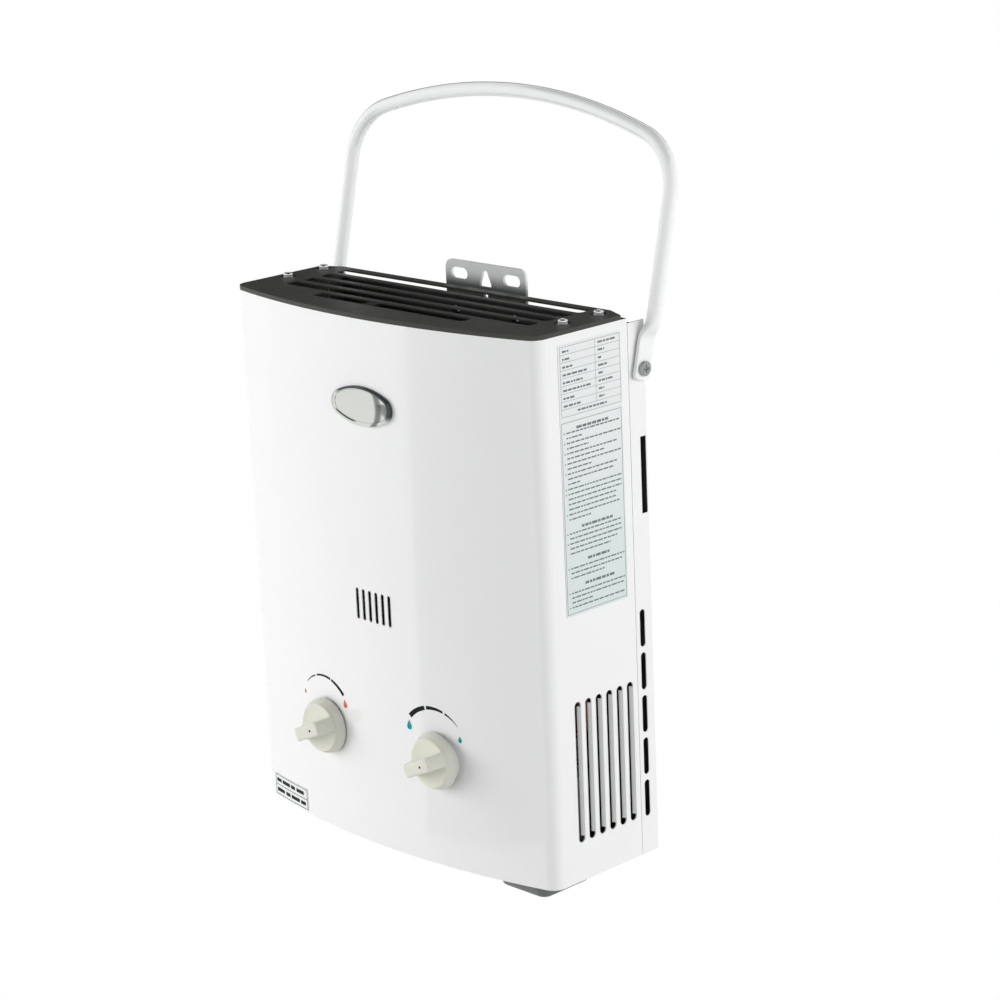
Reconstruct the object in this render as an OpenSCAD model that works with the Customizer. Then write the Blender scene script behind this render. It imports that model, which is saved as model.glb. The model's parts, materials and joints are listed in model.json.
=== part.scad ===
// Portable propane water heater, wall hung, with a swinging carry handle.
// Millimetres. X = 0 is the middle of the width, Y = 0 is the wall plane and the front faces -Y.
// The pieces are drawn with Z = 0 at the bottom edge of the front cover, and hung() then brings
// the middle of the two hanging slots to the origin.

/* [Case] */
// Width of the case
case_w = 289.6; // [270:0.1:310]
// Depth from the wall plane to the middle of the bowed front
case_d = 119.4; // [116:0.1:130]
// Height of the top plate above the bottom edge of the cover
case_h = 372.4; // [366:0.1:400]
// Sheet metal thickness
sheet_t = 1; // [0.8:0.1:1.2]
// How far the middle of the front stands out from its edges
bow = 18.7; // [14:0.1:20]
// Radius of the two front corners
corner_r = 10.25; // [6:0.25:12]
// Depth of the rear chassis, from the wall plane to the cover
chassis_d = 17.8; // [16:0.1:20]
// Distance of the back sheet's upper edge from the top plate
back_gap = 10; // [8:0.1:32]
// Distance of the side walls' upper edge from the top plate
strip_gap = 3.4; // [1:0.1:8]

/* [Top grille] */
// Height of the grille's turned-down rim
grille_t = 3; // [2:0.1:4]
// Thickness of the grille's sheet between its slots
grille_web = 1; // [0.8:0.1:1.5]
// Width of a grille slot
grille_slot_w = 11; // [8:0.1:12]
// Distance between neighbouring grille slots
grille_pitch = 15.5; // [14:0.1:16]
// Length of the long grille slots
grille_slot_l = 236; // [200:1:238]
// Length of the front grille slot
grille_front_l = 146; // [100:1:170]
// Distance of the rearmost slot from the cover's rear edge
grille_first = 10; // [8:0.1:12]
// How far the grille reaches over the rear chassis
grille_over = 2; // [0:0.1:4]
// Distance of the grille screws from the side of the case
grille_screw_in = 12.3; // [10:0.1:14]

/* [Louvres and vents] */
// Width of a side louvre
louvre_w = 6; // [4:0.1:7]
// Length of a side louvre
louvre_l = 98; // [80:1:100]
// Distance between neighbouring louvres
louvre_pitch = 10; // [9:0.1:11]
// Height of the louvres' lower ends
louvre_z = 27; // [24:1:30]
// Width of an oval slot in the rear chassis
vent_w = 5; // [3:0.1:6]
// Length of an oval slot in the rear chassis
vent_l = 26; // [20:1:28]
// Distance between neighbouring oval slots
vent_pitch = 30; // [29:0.5:32]
// Width of a sight slot
sight_w = 3; // [2:0.1:4]
// Length of a sight slot
sight_l = 22; // [16:1:24]
// Distance between neighbouring sight slots
sight_pitch = 6.25; // [6:0.05:7]
// Height of the middle of the sight slots
sight_z = 172; // [168:1:176]

/* [Wall bracket] */
// Width of the hanging bracket
bracket_w = 77; // [70:1:90]
// Thickness of the hanging bracket
bracket_t = 2; // [1.5:0.1:2.5]
// Height of the bracket above the top plate
bracket_up = 13.6; // [12:0.1:18]
// Distance between the two hanging slots
hang_pitch = 50.5; // [46:0.5:56]
// End to end length of a hanging slot
hang_l = 16; // [12:0.5:18]
// Height of a hanging slot
hang_w = 8; // [6:0.1:9]

/* [Handle] */
// Diameter of the handle rod
handle_rod_d = 10; // [8:0.1:11]
// Distance from the pivot to the top of the bowed grip
handle_reach = 169; // [160:1:180]
// Radius of the bowed grip
grip_r = 410; // [380:1:460]
// Bend radius of the handle's corners
handle_corner_r = 40; // [30:1:46]
// Distance of the pivot below the top plate
pivot_drop = 37.4; // [34:0.1:42]
// Distance of the pivot from the wall plane
pivot_back = 7.2; // [7.1:0.1:9]
// Diameter of the pivot screw
pivot_d = 5; // [4:0.1:6]
// Backward lean of the handle at rest, degrees
handle_lean = 13.5; // [5:0.5:20]
// Thickness of the flattened handle ends
tab_t = 3; // [2.5:0.1:3.5]
// Width of the flattened handle ends
tab_w = 14; // [12:0.5:15]

/* [Knobs] */
// Distance of each knob from the middle
knob_x = 55; // [52:0.5:58]
// Height of the knobs
knob_z = 76; // [73:0.5:79]
// Diameter of a knob at its base
knob_d = 39; // [34:0.5:42]
// Diameter of a knob at its face
knob_face_d = 25; // [22:0.5:28]
// Height of a knob
knob_h = 20; // [17:0.5:24]
// Width of the grip bar across a knob
knob_bar_w = 9.5; // [8:0.5:11]
// Height of the face on each side of the bar
knob_floor = 8; // [6:0.5:10]
// Angle of the grip bar as set, degrees
knob_angle = 24; // [0:1:40]
// Diameter of the spindle inside the knob
spindle_d = 6; // [5:0.1:7]

/* [Fittings] */
// Diameter of the threaded pipe ends
thread_d = 20.9; // [18:0.1:22]
// Length of the threaded pipe ends
thread_l = 20; // [14:0.5:24]
// How far the pipe ends reach below the cover
fitting_drop = 45.8; // [40:0.1:50]
// Distance of the pipe ends from the wall plane
fitting_back = 28; // [26:0.5:31]
// Distance of the gas inlet from the middle
gas_in_x = 60; // [56:0.5:64]
// Distance of the cold water inlet from the middle
cold_in_x = 45; // [43:0.5:52]
// Outer diameter of the water pipes
pipe_d = 12; // [10:0.1:12]
// Wall of the pipes
pipe_t = 1; // [0.8:0.1:1.5]

/* [Burner and exchanger] */
// Width of the combustion chamber
chamber_w = 192; // [180:1:196]
// Depth of the combustion chamber
chamber_d = 66; // [64:0.5:68]
// Height of the burner bars' upper faces
burner_z = 156; // [150:1:158]
// Number of burner bars
burner_count = 8; // [6:1:9]
// Number of exchanger tube passes
pass_count = 5; // [3:2:5]
// Distance between neighbouring fins
fin_pitch = 5; // [4:0.5:8]
// Thickness of a fin
fin_t = 1; // [0.6:0.1:1.2]

/* [Battery box] */
// Diameter of a battery cell
cell_d = 26.2; // [24:0.1:26.6]
// Length of a battery cell
cell_l = 50; // [44:0.5:60]
// Distance of the cells from the middle of the case
cell_x = 107; // [106:0.5:112]
// Wall of the battery box
box_wall = 1.2; // [1:0.1:1.5]
// Width of the battery lid
lid_w = 42; // [38:0.5:44]
// Depth of the lid below its seat
lid_h = 13; // [8:0.5:14]
// Corner radius of the lid, seen from below
lid_corner = 6; // [3:0.5:10]

/* [Hidden] */
$fn = 48;

// Small amounts shared by every piece
fit = 0.3;
run_fit = 0.05;
past = 1;

// Case
half_w = case_w / 2;
inner_w = half_w - sheet_t;
front_y = -case_d;
cover_y = -chassis_d;
back_y = -bracket_t;
wall_y = back_y - sheet_t;
arc_r = (half_w * half_w + bow * bow) / (2 * bow);
arc_y = front_y + arc_r;
corner_x = half_w - corner_r;
corner_y = arc_y - sqrt(pow(arc_r - corner_r, 2) - corner_x * corner_x);
cover_top = case_h - grille_t;
back_h = case_h - back_gap;
pivot_z = case_h - pivot_drop;
strip_top = cover_top - strip_gap;
arc_fn = 360;

// Cover details
flange_w = 8;
flange_z = cover_top - sheet_t;
screw_flange_w = 22;
louvre_count = 6;
louvre_first = 7.5;
flap_angle = 60;
flap_w = 2.4;
flap_end = 1;
sight_count = 6;
seam_gap = 0.4;
seam_lap = 7;
seam_z = [135, case_h - 72.4];
tab_z = 1.8 * sheet_t;
pan_z = tab_z + sheet_t;
pan_t = 1.2;
cover_screw_y = cover_y - 13;
cover_screw_x = half_w - 11;
front_screw_y = front_y + 8.5;

// Grille
grille_count = 5;
grille_corner = 3;
grille_rim = 1.2;
grille_chamfer = [16, 7.5];
grille_screw_x = half_w - grille_screw_in;
grille_screw_y = [cover_y - 13, cover_y - 46];
grille_hole_r = 1.8;
washer_r = 5.5;
washer_t = 0.8;
screw_head_r = 3.3;
screw_head_h = 2.8;
screw_r = 1.6;
screw_l = 6;

// Vents and notch of the rear chassis
vent_count = 5;
vent_y = cover_y + 6.5;
vent_z = 26;
notch_y = cover_y + 9.5;
notch_z = [case_h - 135.4, case_h - 83.4];
notch_in = 6;

// Wall bracket
bracket_top = case_h + bracket_up;
bracket_bottom = back_h - 50;
bracket_corner_r = 6;
hang_z = bracket_top - 9;
key_top_z = hang_z + 4.5;
key_h = 11.5;
key_top_w = 5.4;
key_foot_h = 2.5;
key_low_w = 11;
rivet_r = 2;
rivet_head_r = 3.6;
rivet_head_h = 1.2;
rivet_x = bracket_w / 2 - 10;
rivet_z = [back_h - 38, back_h - 12];

// Badge
badge_a = 28.5;
badge_b = 13.5;
badge_end_r = 9;
badge_z = case_h - 61.4;
badge_rim = 2.4;
badge_rim_h = 2.4;
badge_floor = 1.2;
badge_dome = 2.8;

// Labels
label_t = 0.3;
label_upper = [case_h - 57.9, case_h - 9.4];
label_lower = [case_h - 188.4, case_h - 58.4];
label_y = [cover_y - 64.5, cover_y - 7];
service_x = [-133, -88];
service_z = [1.5, 18];

// Handle
pivot_y = -pivot_back;
handle_washer_t = 0.9;
tab_x = half_w + handle_washer_t + 0.1;
leg_x = tab_x + tab_t / 2 + 4.3;
tab_up = 19;
tab_end = 7.5;
tab_corner_r = 3;
joggle_up = 30;
rod_start = joggle_up + 6;
joint_swell = 0.03;
grip_center = handle_reach - grip_r;
handle_corner_x = leg_x - handle_corner_r;
handle_corner_s = grip_center + sqrt(pow(grip_r - handle_corner_r, 2) - pow(handle_corner_x, 2));
grip_angle = asin(handle_corner_x / (grip_r - handle_corner_r));
pivot_head_r = 5;
pivot_head_h = 2.5;
pivot_nut_h = 4;

// Knobs and spindles
boss_r = 17;
knob_gap = 0.4;
boss_y = surface_y(knob_x - knob_d / 2, 0) - knob_gap;
knob_y = boss_y - knob_gap;
knob_base_h = 3;
knob_bore_h = 12;
pointer_r = 0.8;
pointer_at = 4.7;
flat_share = 0.28;
spindle_hole_r = spindle_d / 2 + 2;
spindle_big_r = spindle_d / 2 + 1;

// Valve group, on one axis along X at the knobs' height
valve_y = -40;
valve_z = knob_z;
valve_front = valve_y - 19;
valve_rear = valve_y + 19;
valve_low = valve_z - 26;
valve_high = valve_z + 20;
valve_boss_y = valve_front - 18;
valve_boss_r = 9;
lead_z = valve_high + 2.5;
gas_body_x = [-85, -30];
water_body_x = [28, 90];
flange_r = 29;
flange_t = 4;
diaphragm_t = 1.5;
diaphragm_cover_t = 12;
cover_end_x = water_body_x[0] - diaphragm_t - diaphragm_cover_t;
rod_r = 2.5;
rod_travel = 3;
collar_r = 10;
collar_t = 3;
collar_x = 2;
plunger_r = 2;
plunger_z = valve_z + 7;
switch_x = [-22, -6];
switch_size = [12, 13];
spindle_end_y = valve_y - 8;
solenoid_r = 12;
solenoid_l = 23;

// Fittings
fitting_y = -fitting_back;
fitting_low = -fitting_drop;
fitting_bore_r = 5;
fitting_tube_r = 7;
hex_r = 12.5;
hex_h = 8;
seat_r = 11;
seat_h = 4;
outlet_z = 30;
drain_x = cold_in_x + 27;

// Combustion chamber and burner
chamber_x = chamber_w / 2;
chamber_back = -18;
chamber_front = chamber_back - chamber_d;
chamber_t = 1.2;
hood_h = 52;
hood_clear = 17.4;
chamber_z = [burner_z + 4, cover_top - hood_clear - hood_h];
frame_z = chamber_z[0] - 48;
frame_t = 1.5;
rail_h = 4;
rail_w = 6;
bar_w = 15;
bar_z = frame_z + rail_h;
bar_mix_r = 6.5;
bar_mix_z = bar_z + 10;
bar_throat_r = 4.5;
bar_y = [chamber_front + 5, chamber_back - frame_t];
bar_pitch = (chamber_w - 16) / burner_count;
port_w = 2;
manifold_size = 12;
manifold_back = chamber_front - 4;
manifold_z = bar_mix_z;
injector_r = 2.5;
gas_pipe_r = 5;
gas_rise_x = -57;
gas_rise_z = frame_z - gas_pipe_r - 1;
sight_hole = [36, 14];
glass_t = 1.5;
glass_lap = 4;
electrode_x = 50;
electrode_z = chamber_z[0] + 8;
electrode_r = 3;
electrode_y = [chamber_front - 12, chamber_front + 6];

// Heat exchanger
tube_r = 5.5;
tube_pitch = 13;
tube_bend = tube_pitch / 2;
tube_z = chamber_z[1] - 22;
tube_first_y = chamber_back - 7;
tube_last_y = tube_first_y - tube_pitch * (pass_count - 1);
tube_turn_x = chamber_x + 14;
tube_hole_r = tube_r + run_fit;
fin_z = [tube_z - 14, tube_z + 14];
fin_count = floor((chamber_w - 2 * chamber_t - fin_pitch) / fin_pitch);
coil_gap = 0.3;
coil_x = chamber_x + pipe_d / 2 + coil_gap;
coil_front = chamber_front - pipe_d / 2 - coil_gap;
coil_back = chamber_back + pipe_d / 2 + coil_gap;
coil_z = [chamber_z[0] + 30, chamber_z[0] + 65];
coil_step_x = chamber_x - 16;
coil_rise_x = coil_step_x - 26;
coil_bend = pipe_d / 2 + 0.6;
coil_end_x = tube_turn_x + pipe_d / 2 + 3;
pipe_bend = 9;
cold_x = chamber_x + 16;
cold_top = 150;
cold_low_z = valve_z + 9;
hot_r = pipe_d / 2 - 0.5;
hot_x = -chamber_x - 19;
tube_end_x = hot_x + pipe_bend;
hood_z = [chamber_z[1], chamber_z[1] + hood_h];
hood_slope = 24;
hood_exit = [170, 34];
thermostat_x = chamber_x - 36;
thermostat_z = coil_z[1] + 25;
thermostat_r = 8;

// Ignition box and leads
lead_r = 1.25;
lead_bend = 4;
igniter_box_x = [-half_w + 4, -half_w + 22];
igniter_mid_x = (igniter_box_x[0] + igniter_box_x[1]) / 2;
igniter_box_y = [tube_last_y + hot_r + 1.5, wall_y];
igniter_box_z = [130, 220];
lead_front = -101;
lead_turn_y = -60;
battery_lead_y = -64;

// Battery box
cell_gap = 0.6;
cell_pitch = cell_d + cell_gap;
cell_y = -73;
box_half_x = cell_d / 2 + cell_gap;
box_half_y = cell_d + 1.5 * cell_gap;
box_flange_t = 1.3;
box_low = pan_z - box_flange_t;
contact_h = 4;
cell_low = box_low + contact_h;
box_high = box_low + cell_l + 2 * contact_h + box_wall;
lid_y = [cell_y - 27.3, cell_y + 27.4];
lid_top = box_low - fit;
lid_low = lid_top - lid_h;
lid_draft = 5;
lid_wall = 1.5;
hinge_y = lid_y[1] + 4;
hinge_z = lid_top - 3;
hinge_r = 2.5;
hinge_pin_r = 1.2;
knuckle_w = 10;
lug_w = 4;

// ---- Shared shapes and functions ----

// Y of the cover's bowed front at x, moved in by inset
function surface_y(x, inset) = arc_y - sqrt(pow(arc_r - inset, 2) - x * x);
function unit(v) = v / norm(v);
function leg_dir(path, i) = unit(path[i + 1] - path[i]);
function is_end(path, i) = i == 0 || i == len(path) - 1;
function turn_at(path, i) = acos(leg_dir(path, i - 1) * leg_dir(path, i));
function setback(path, i, bend) = is_end(path, i) ? 0 : bend * tan(turn_at(path, i) / 2);

// Case outline seen from above, moved in by inset, open to the rear as far as rear_y
module case_outline(inset, rear_y) {
    translate([-half_w + inset, corner_y]) square([case_w - 2 * inset, rear_y - corner_y]);
    intersection() {
        translate([0, arc_y]) circle(arc_r - inset, $fn = arc_fn);
        polygon([[-corner_x, corner_y], [corner_x, corner_y], arc_edge(1), arc_edge(-1)]);
    }
    for (side = [-1, 1]) translate([side * corner_x, corner_y]) circle(corner_r - inset);
}

// A point on the line from the arc's centre through the corner's centre, past the front
function arc_edge(side) = [side * corner_x, corner_y - arc_y] * 1.2 + [0, arc_y];

module ring_2d(r, bore) {
    difference() {
        circle(r);
        if (bore > 0) circle(bore);
    }
}

module rounded_2d(w, h, r) {
    square([w - 2 * r, h], center = true);
    square([w, h - 2 * r], center = true);
    for (x = [-1, 1]) for (y = [-1, 1]) translate([x * (w / 2 - r), y * (h / 2 - r)]) circle(r);
}

module slot_2d(l, w) {
    square([l - w, w], center = true);
    for (side = [-1, 1]) translate([side * (l - w) / 2, 0]) circle(w / 2);
}

// Brings the middle of the hanging slots to the origin
module hung() {
    translate([0, 0, -hang_z]) children();
}

// Turns a drawing so that its Z runs toward the front
module toward_front() {
    rotate([90, 0, 0]) children();
}

// Places a drawing's Z axis along X
module along_x() {
    rotate([0, 90, 0]) children();
}

module box(x, y, z) {
    translate([x[0], y[0], z[0]]) cube([x[1] - x[0], y[1] - y[0], z[1] - z[0]]);
}

module frame_of(x, y, z, at) {
    multmatrix([
        [x[0], y[0], z[0], at[0]],
        [x[1], y[1], z[1], at[1]],
        [x[2], y[2], z[2], at[2]],
        [0, 0, 0, 1]
    ]) children();
}

module straight(a, b, r, bore) {
    w = unit(b - a);
    helper = abs(w[2]) < 0.9 ? [0, 0, 1] : [1, 0, 0];
    u = unit(cross(helper, w));
    frame_of(u, cross(w, u), w, a) linear_extrude(norm(b - a)) ring_2d(r, bore);
}

module elbow(path, i, r, bore, bend) {
    u = leg_dir(path, i - 1);
    v = leg_dir(path, i);
    side = unit(v - u * (u * v));
    center = path[i] - u * setback(path, i, bend) + side * bend;
    frame_of(-side, u, cross(u, side), center)
        rotate_extrude(angle = turn_at(path, i)) translate([bend, 0]) ring_2d(r, bore);
}

// A tube of radius r along a path, with bends of one radius at its corners
module tube_path(path, r, bore, bend) {
    for (i = [0:len(path) - 2]) {
        a = path[i] + leg_dir(path, i) * setback(path, i, bend);
        b = path[i + 1] - leg_dir(path, i) * setback(path, i + 1, bend);
        if (norm(b - a) > 0.01) straight(a, b, r, bore);
    }
    for (i = [1:1:len(path) - 2]) elbow(path, i, r, bore, bend);
}

// A pan head screw, head up, its seat at Z = 0
module pan_screw(r, l, head_r, head_h) {
    difference() {
        union() {
            translate([0, 0, -l]) cylinder(r = r, h = l);
            cylinder(r = head_r, h = head_h * 0.5);
            translate([0, 0, head_h * 0.5]) cylinder(r1 = head_r, r2 = head_r * 0.6, h = head_h * 0.5);
        }
        for (turn = [0, 90]) rotate([0, 0, turn])
            translate([-head_r * 0.55, -head_r * 0.12, head_h * 0.5])
                cube([head_r * 1.1, head_r * 0.24, head_h]);
    }
}

// ---- Case ----

module side_vents() {
    for (side = [-1, 1]) for (i = [0:vent_count - 1])
        translate([side * half_w, vent_y, vent_z + i * vent_pitch + vent_l / 2])
            rotate([0, 90, 0]) linear_extrude(6 * sheet_t, center = true) slot_2d(vent_l, vent_w);
}

module rear_chassis() {
    color("whitesmoke") difference() {
        union() {
            box([-half_w, half_w], [wall_y, back_y], [0, back_h]);
            for (side = [-1, 1]) {
                translate([side * (half_w - sheet_t / 2) - sheet_t / 2, cover_y + seam_gap, 0])
                    cube([sheet_t, back_y - cover_y - seam_gap, strip_top]);
                translate([side * (inner_w - sheet_t / 2) - sheet_t / 2, cover_y - seam_lap, seam_z[0]])
                    cube([sheet_t, seam_lap + 4, seam_z[1] - seam_z[0]]);
            }
        }
        side_vents();
        for (side = [-1, 1]) {
            translate([side * half_w - notch_in, notch_y, notch_z[0]])
                cube([2 * notch_in, wall_y - notch_y, notch_z[1] - notch_z[0]]);
            translate([side * half_w, pivot_y, pivot_z]) along_x()
                cylinder(d = pivot_d + 2 * run_fit, h = 6 * sheet_t, center = true);
            for (z = rivet_z) translate([side * rivet_x, 0, z]) toward_front()
                cylinder(r = rivet_r + run_fit, h = bracket_t + 2 * sheet_t);
        }
    }
}

module louvre_slots() {
    for (side = [-1, 1]) for (i = [0:louvre_count - 1])
        translate([side * half_w, louvre_y(i), louvre_z + louvre_l / 2])
            rotate([0, 90, 0]) linear_extrude(4 * sheet_t, center = true) slot_2d(louvre_l, louvre_w);
}

function louvre_y(i) = cover_y - louvre_first - i * louvre_pitch;

// The flap left by each louvre, bent into the case at the slot's rear edge
module louvre_flaps() {
    low = louvre_w / 2 + flap_end;
    for (side = [-1, 1]) for (i = [0:louvre_count - 1])
        translate([side * (half_w - sheet_t / 2), louvre_y(i) + louvre_w / 2, louvre_z + low])
            rotate([0, 0, -side * flap_angle]) translate([-sheet_t / 2, -flap_w, 0])
                cube([sheet_t, flap_w, louvre_l - 2 * low]);
}

module knob_bosses(r, y0, y1) {
    for (side = [-1, 1]) translate([side * knob_x, y1, knob_z]) toward_front()
        cylinder(r = r, h = y1 - y0);
}

module cover_walls() {
    linear_extrude(cover_top) difference() {
        case_outline(0, cover_y);
        case_outline(sheet_t, cover_y + past);
    }
    translate([0, 0, flange_z]) linear_extrude(sheet_t) difference() {
        case_outline(0, cover_y);
        case_outline(flange_w, cover_y + past);
    }
    for (side = [-1, 1]) {
        translate([side * (half_w - screw_flange_w / 2) - screw_flange_w / 2, cover_y - 72, flange_z])
            cube([screw_flange_w, 70, sheet_t]);
        translate([side * (cover_screw_x + 1) - 9.5, cover_screw_y - 10, tab_z]) cube([19, 20, sheet_t]);
    }
    box([-18, 18], [surface_y(18, sheet_t / 2), front_screw_y + 6], [tab_z, pan_z]);
    knob_bosses(boss_r, boss_y, surface_y(knob_x + boss_r, sheet_t));
}

module front_cover() {
    color("white") {
        difference() {
            cover_walls();
            knob_bosses(boss_r - sheet_t, boss_y + sheet_t, surface_y(knob_x + boss_r, 0) + 8);
            knob_bosses(spindle_hole_r, boss_y - past, boss_y + 4);
            louvre_slots();
            for (i = [0:sight_count - 1])
                translate([(i - (sight_count - 1) / 2) * sight_pitch, front_y + 8, sight_z])
                    toward_front() linear_extrude(12) rotate(90) slot_2d(sight_l, sight_w);
            for (side = [-1, 1]) {
                for (y = grille_screw_y) translate([side * grille_screw_x, y, cover_top - 2 * sheet_t])
                    cylinder(r = grille_hole_r, h = 4 * sheet_t);
                translate([side * cover_screw_x, cover_screw_y, -past]) cylinder(r = grille_hole_r, h = 6);
            }
            translate([0, front_screw_y, -past]) cylinder(r = grille_hole_r, h = 6);
        }
        louvre_flaps();
    }
}

module bottom_pan() {
    color("gainsboro") translate([0, 0, pan_z]) difference() {
        linear_extrude(pan_t) difference() {
            union() {
                case_outline(sheet_t + fit, cover_y);
                translate([-inner_w + fit, cover_y]) square([2 * (inner_w - fit), wall_y - cover_y]);
            }
            for (x = [-gas_in_x, 0, cold_in_x]) translate([x, fitting_y]) circle(fitting_tube_r + 1);
            translate([cell_x, cell_y])
                square([2 * (box_half_x + box_wall), 2 * (box_half_y + box_wall)], center = true);
            for (side = [-1, 1]) translate([side * cover_screw_x, cover_screw_y]) circle(grille_hole_r);
            translate([0, front_screw_y]) circle(grille_hole_r);
        }
    }
}

module grille_plate_2d(inset) {
    rear_y = cover_y + grille_over;
    slant = inset * norm(grille_chamfer);
    x = half_w - grille_chamfer[0] - slant / grille_chamfer[1];
    y = rear_y - grille_chamfer[1] - slant / grille_chamfer[0];
    difference() {
        case_outline(inset, rear_y - inset);
        for (side = [-1, 1]) polygon([
            [side * (half_w + past), y], [side * half_w, y],
            [side * x, rear_y], [side * x, rear_y + past],
            [side * (half_w + past), rear_y + past]
        ]);
    }
}

module top_grille() {
    color("dimgray") difference() {
        translate([0, 0, cover_top]) linear_extrude(grille_t) difference() {
            grille_plate_2d(0);
            for (i = [0:grille_count - 1]) {
                l = i == grille_count - 1 ? grille_front_l : grille_slot_l;
                translate([0, cover_y - grille_first - i * grille_pitch])
                    rounded_2d(l, grille_slot_w, grille_corner);
            }
            for (side = [-1, 1]) for (y = grille_screw_y)
                translate([side * grille_screw_x, y]) circle(grille_hole_r);
        }
        translate([0, 0, cover_top - past]) linear_extrude(grille_t - grille_web + past) difference() {
            grille_plate_2d(grille_rim);
            for (side = [-1, 1]) for (y = grille_screw_y)
                translate([side * grille_screw_x, y]) circle(washer_r + grille_rim);
        }
    }
}

module at_grille_screws() {
    for (side = [-1, 1]) for (y = grille_screw_y) translate([side * grille_screw_x, y, case_h]) children();
}

module grille_screws() {
    color("silver") at_grille_screws() translate([0, 0, washer_t])
        pan_screw(screw_r, screw_l, screw_head_r, screw_head_h);
}

module grille_washers() {
    color("lightgray") at_grille_screws() linear_extrude(washer_t) ring_2d(washer_r, grille_hole_r);
}

module cover_screws() {
    color("silver") {
        for (side = [-1, 1]) translate([side * cover_screw_x, cover_screw_y, tab_z]) mirror([0, 0, 1])
            pan_screw(screw_r, screw_l, screw_head_r, screw_head_h);
        translate([0, front_screw_y, tab_z]) mirror([0, 0, 1])
            pan_screw(screw_r, screw_l, screw_head_r, screw_head_h);
    }
}

// A bell shaped hole, narrow above and wide below
module keyhole_2d() {
    foot = key_top_w / 2 - key_h;
    circle(key_top_w / 2);
    polygon([
        [-key_top_w / 2, 0], [key_top_w / 2, 0],
        [key_low_w / 2, foot + key_foot_h], [key_low_w / 2, foot],
        [-key_low_w / 2, foot], [-key_low_w / 2, foot + key_foot_h]
    ]);
}

module wall_bracket() {
    color("silver") toward_front() linear_extrude(bracket_t) difference() {
        translate([0, (bracket_top + bracket_bottom) / 2])
            rounded_2d(bracket_w, bracket_top - bracket_bottom, bracket_corner_r);
        for (side = [-1, 1]) {
            translate([side * hang_pitch / 2, hang_z]) slot_2d(hang_l, hang_w);
            for (z = rivet_z) translate([side * rivet_x, z]) circle(rivet_r + run_fit);
        }
        translate([0, key_top_z - key_top_w / 2]) keyhole_2d();
        translate([0, case_h - 8]) circle(rivet_r);
    }
}

module bracket_rivets() {
    color("gray") for (side = [-1, 1]) for (z = rivet_z) translate([side * rivet_x, 0, z]) toward_front() {
        translate([0, 0, fit]) cylinder(r = rivet_r, h = bracket_t + sheet_t - fit);
        translate([0, 0, bracket_t + sheet_t])
            cylinder(r1 = rivet_head_r, r2 = rivet_head_r * 0.7, h = rivet_head_h);
    }
}

// An oval of half axes a and b, drawn with four true arcs
module oval_2d(a, b, end_r) {
    big_r = (pow(a - end_r, 2) + b * b - end_r * end_r) / (2 * (b - end_r));
    touch_x = (a - end_r) * big_r / (big_r - end_r);
    intersection() {
        square([2 * touch_x, 2 * b], center = true);
        translate([0, b - big_r]) circle(big_r, $fn = 180);
        translate([0, big_r - b]) circle(big_r, $fn = 180);
    }
    for (side = [-1, 1]) translate([side * (a - end_r), 0]) circle(end_r);
}

module badge() {
    dome_r = (badge_a * badge_a) / (2 * (badge_dome - badge_floor));
    color("silver") translate([0, 0, badge_z]) difference() {
        translate([0, front_y, 0]) toward_front() {
            translate([0, 0, -2]) linear_extrude(2 + badge_floor) oval_2d(badge_a, badge_b, badge_end_r);
            linear_extrude(badge_rim_h) difference() {
                oval_2d(badge_a, badge_b, badge_end_r);
                oval_2d(badge_a - badge_rim, badge_b - badge_rim, badge_end_r - badge_rim);
            }
            intersection() {
                linear_extrude(badge_dome + past)
                    oval_2d(badge_a - badge_rim, badge_b - badge_rim, badge_end_r - badge_rim);
                translate([0, 0, badge_dome - dome_r]) sphere(dome_r, $fn = 180);
            }
        }
        translate([0, arc_y, -2 * badge_b]) cylinder(r = arc_r, h = 4 * badge_b, $fn = arc_fn);
    }
}

module side_labels() {
    color("aliceblue") for (z = [label_upper, label_lower])
        box([half_w, half_w + label_t], label_y, z);
}

module service_label() {
    color("ivory") translate([0, 0, service_z[0]]) linear_extrude(service_z[1] - service_z[0])
        intersection() {
            translate([0, arc_y]) difference() {
                circle(arc_r + label_t, $fn = arc_fn);
                circle(arc_r, $fn = arc_fn);
            }
            translate([service_x[0], front_y - 2]) square([service_x[1] - service_x[0], bow + 4]);
        }
}

// ---- Handle ----

// Thickness profile of a flattened end and its outward step, seen from the front
module tab_profile_2d() {
    inner = leg_x - tab_t / 2;
    outer = leg_x + tab_t / 2;
    polygon([
        [tab_x, 0], [tab_x, tab_up], [inner, joggle_up], [inner, rod_start],
        [outer, rod_start], [outer, joggle_up], [tab_x + tab_t, tab_up], [tab_x + tab_t, 0]
    ]);
}

// Outline of the same end seen from the side, narrowing to the rod
module tab_outline_2d() {
    narrow = handle_rod_d * 0.8;
    polygon([
        [-tab_w / 2, 0], [-tab_w / 2, tab_up], [-narrow / 2, rod_start],
        [narrow / 2, rod_start], [tab_w / 2, tab_up], [tab_w / 2, 0]
    ]);
}

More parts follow.
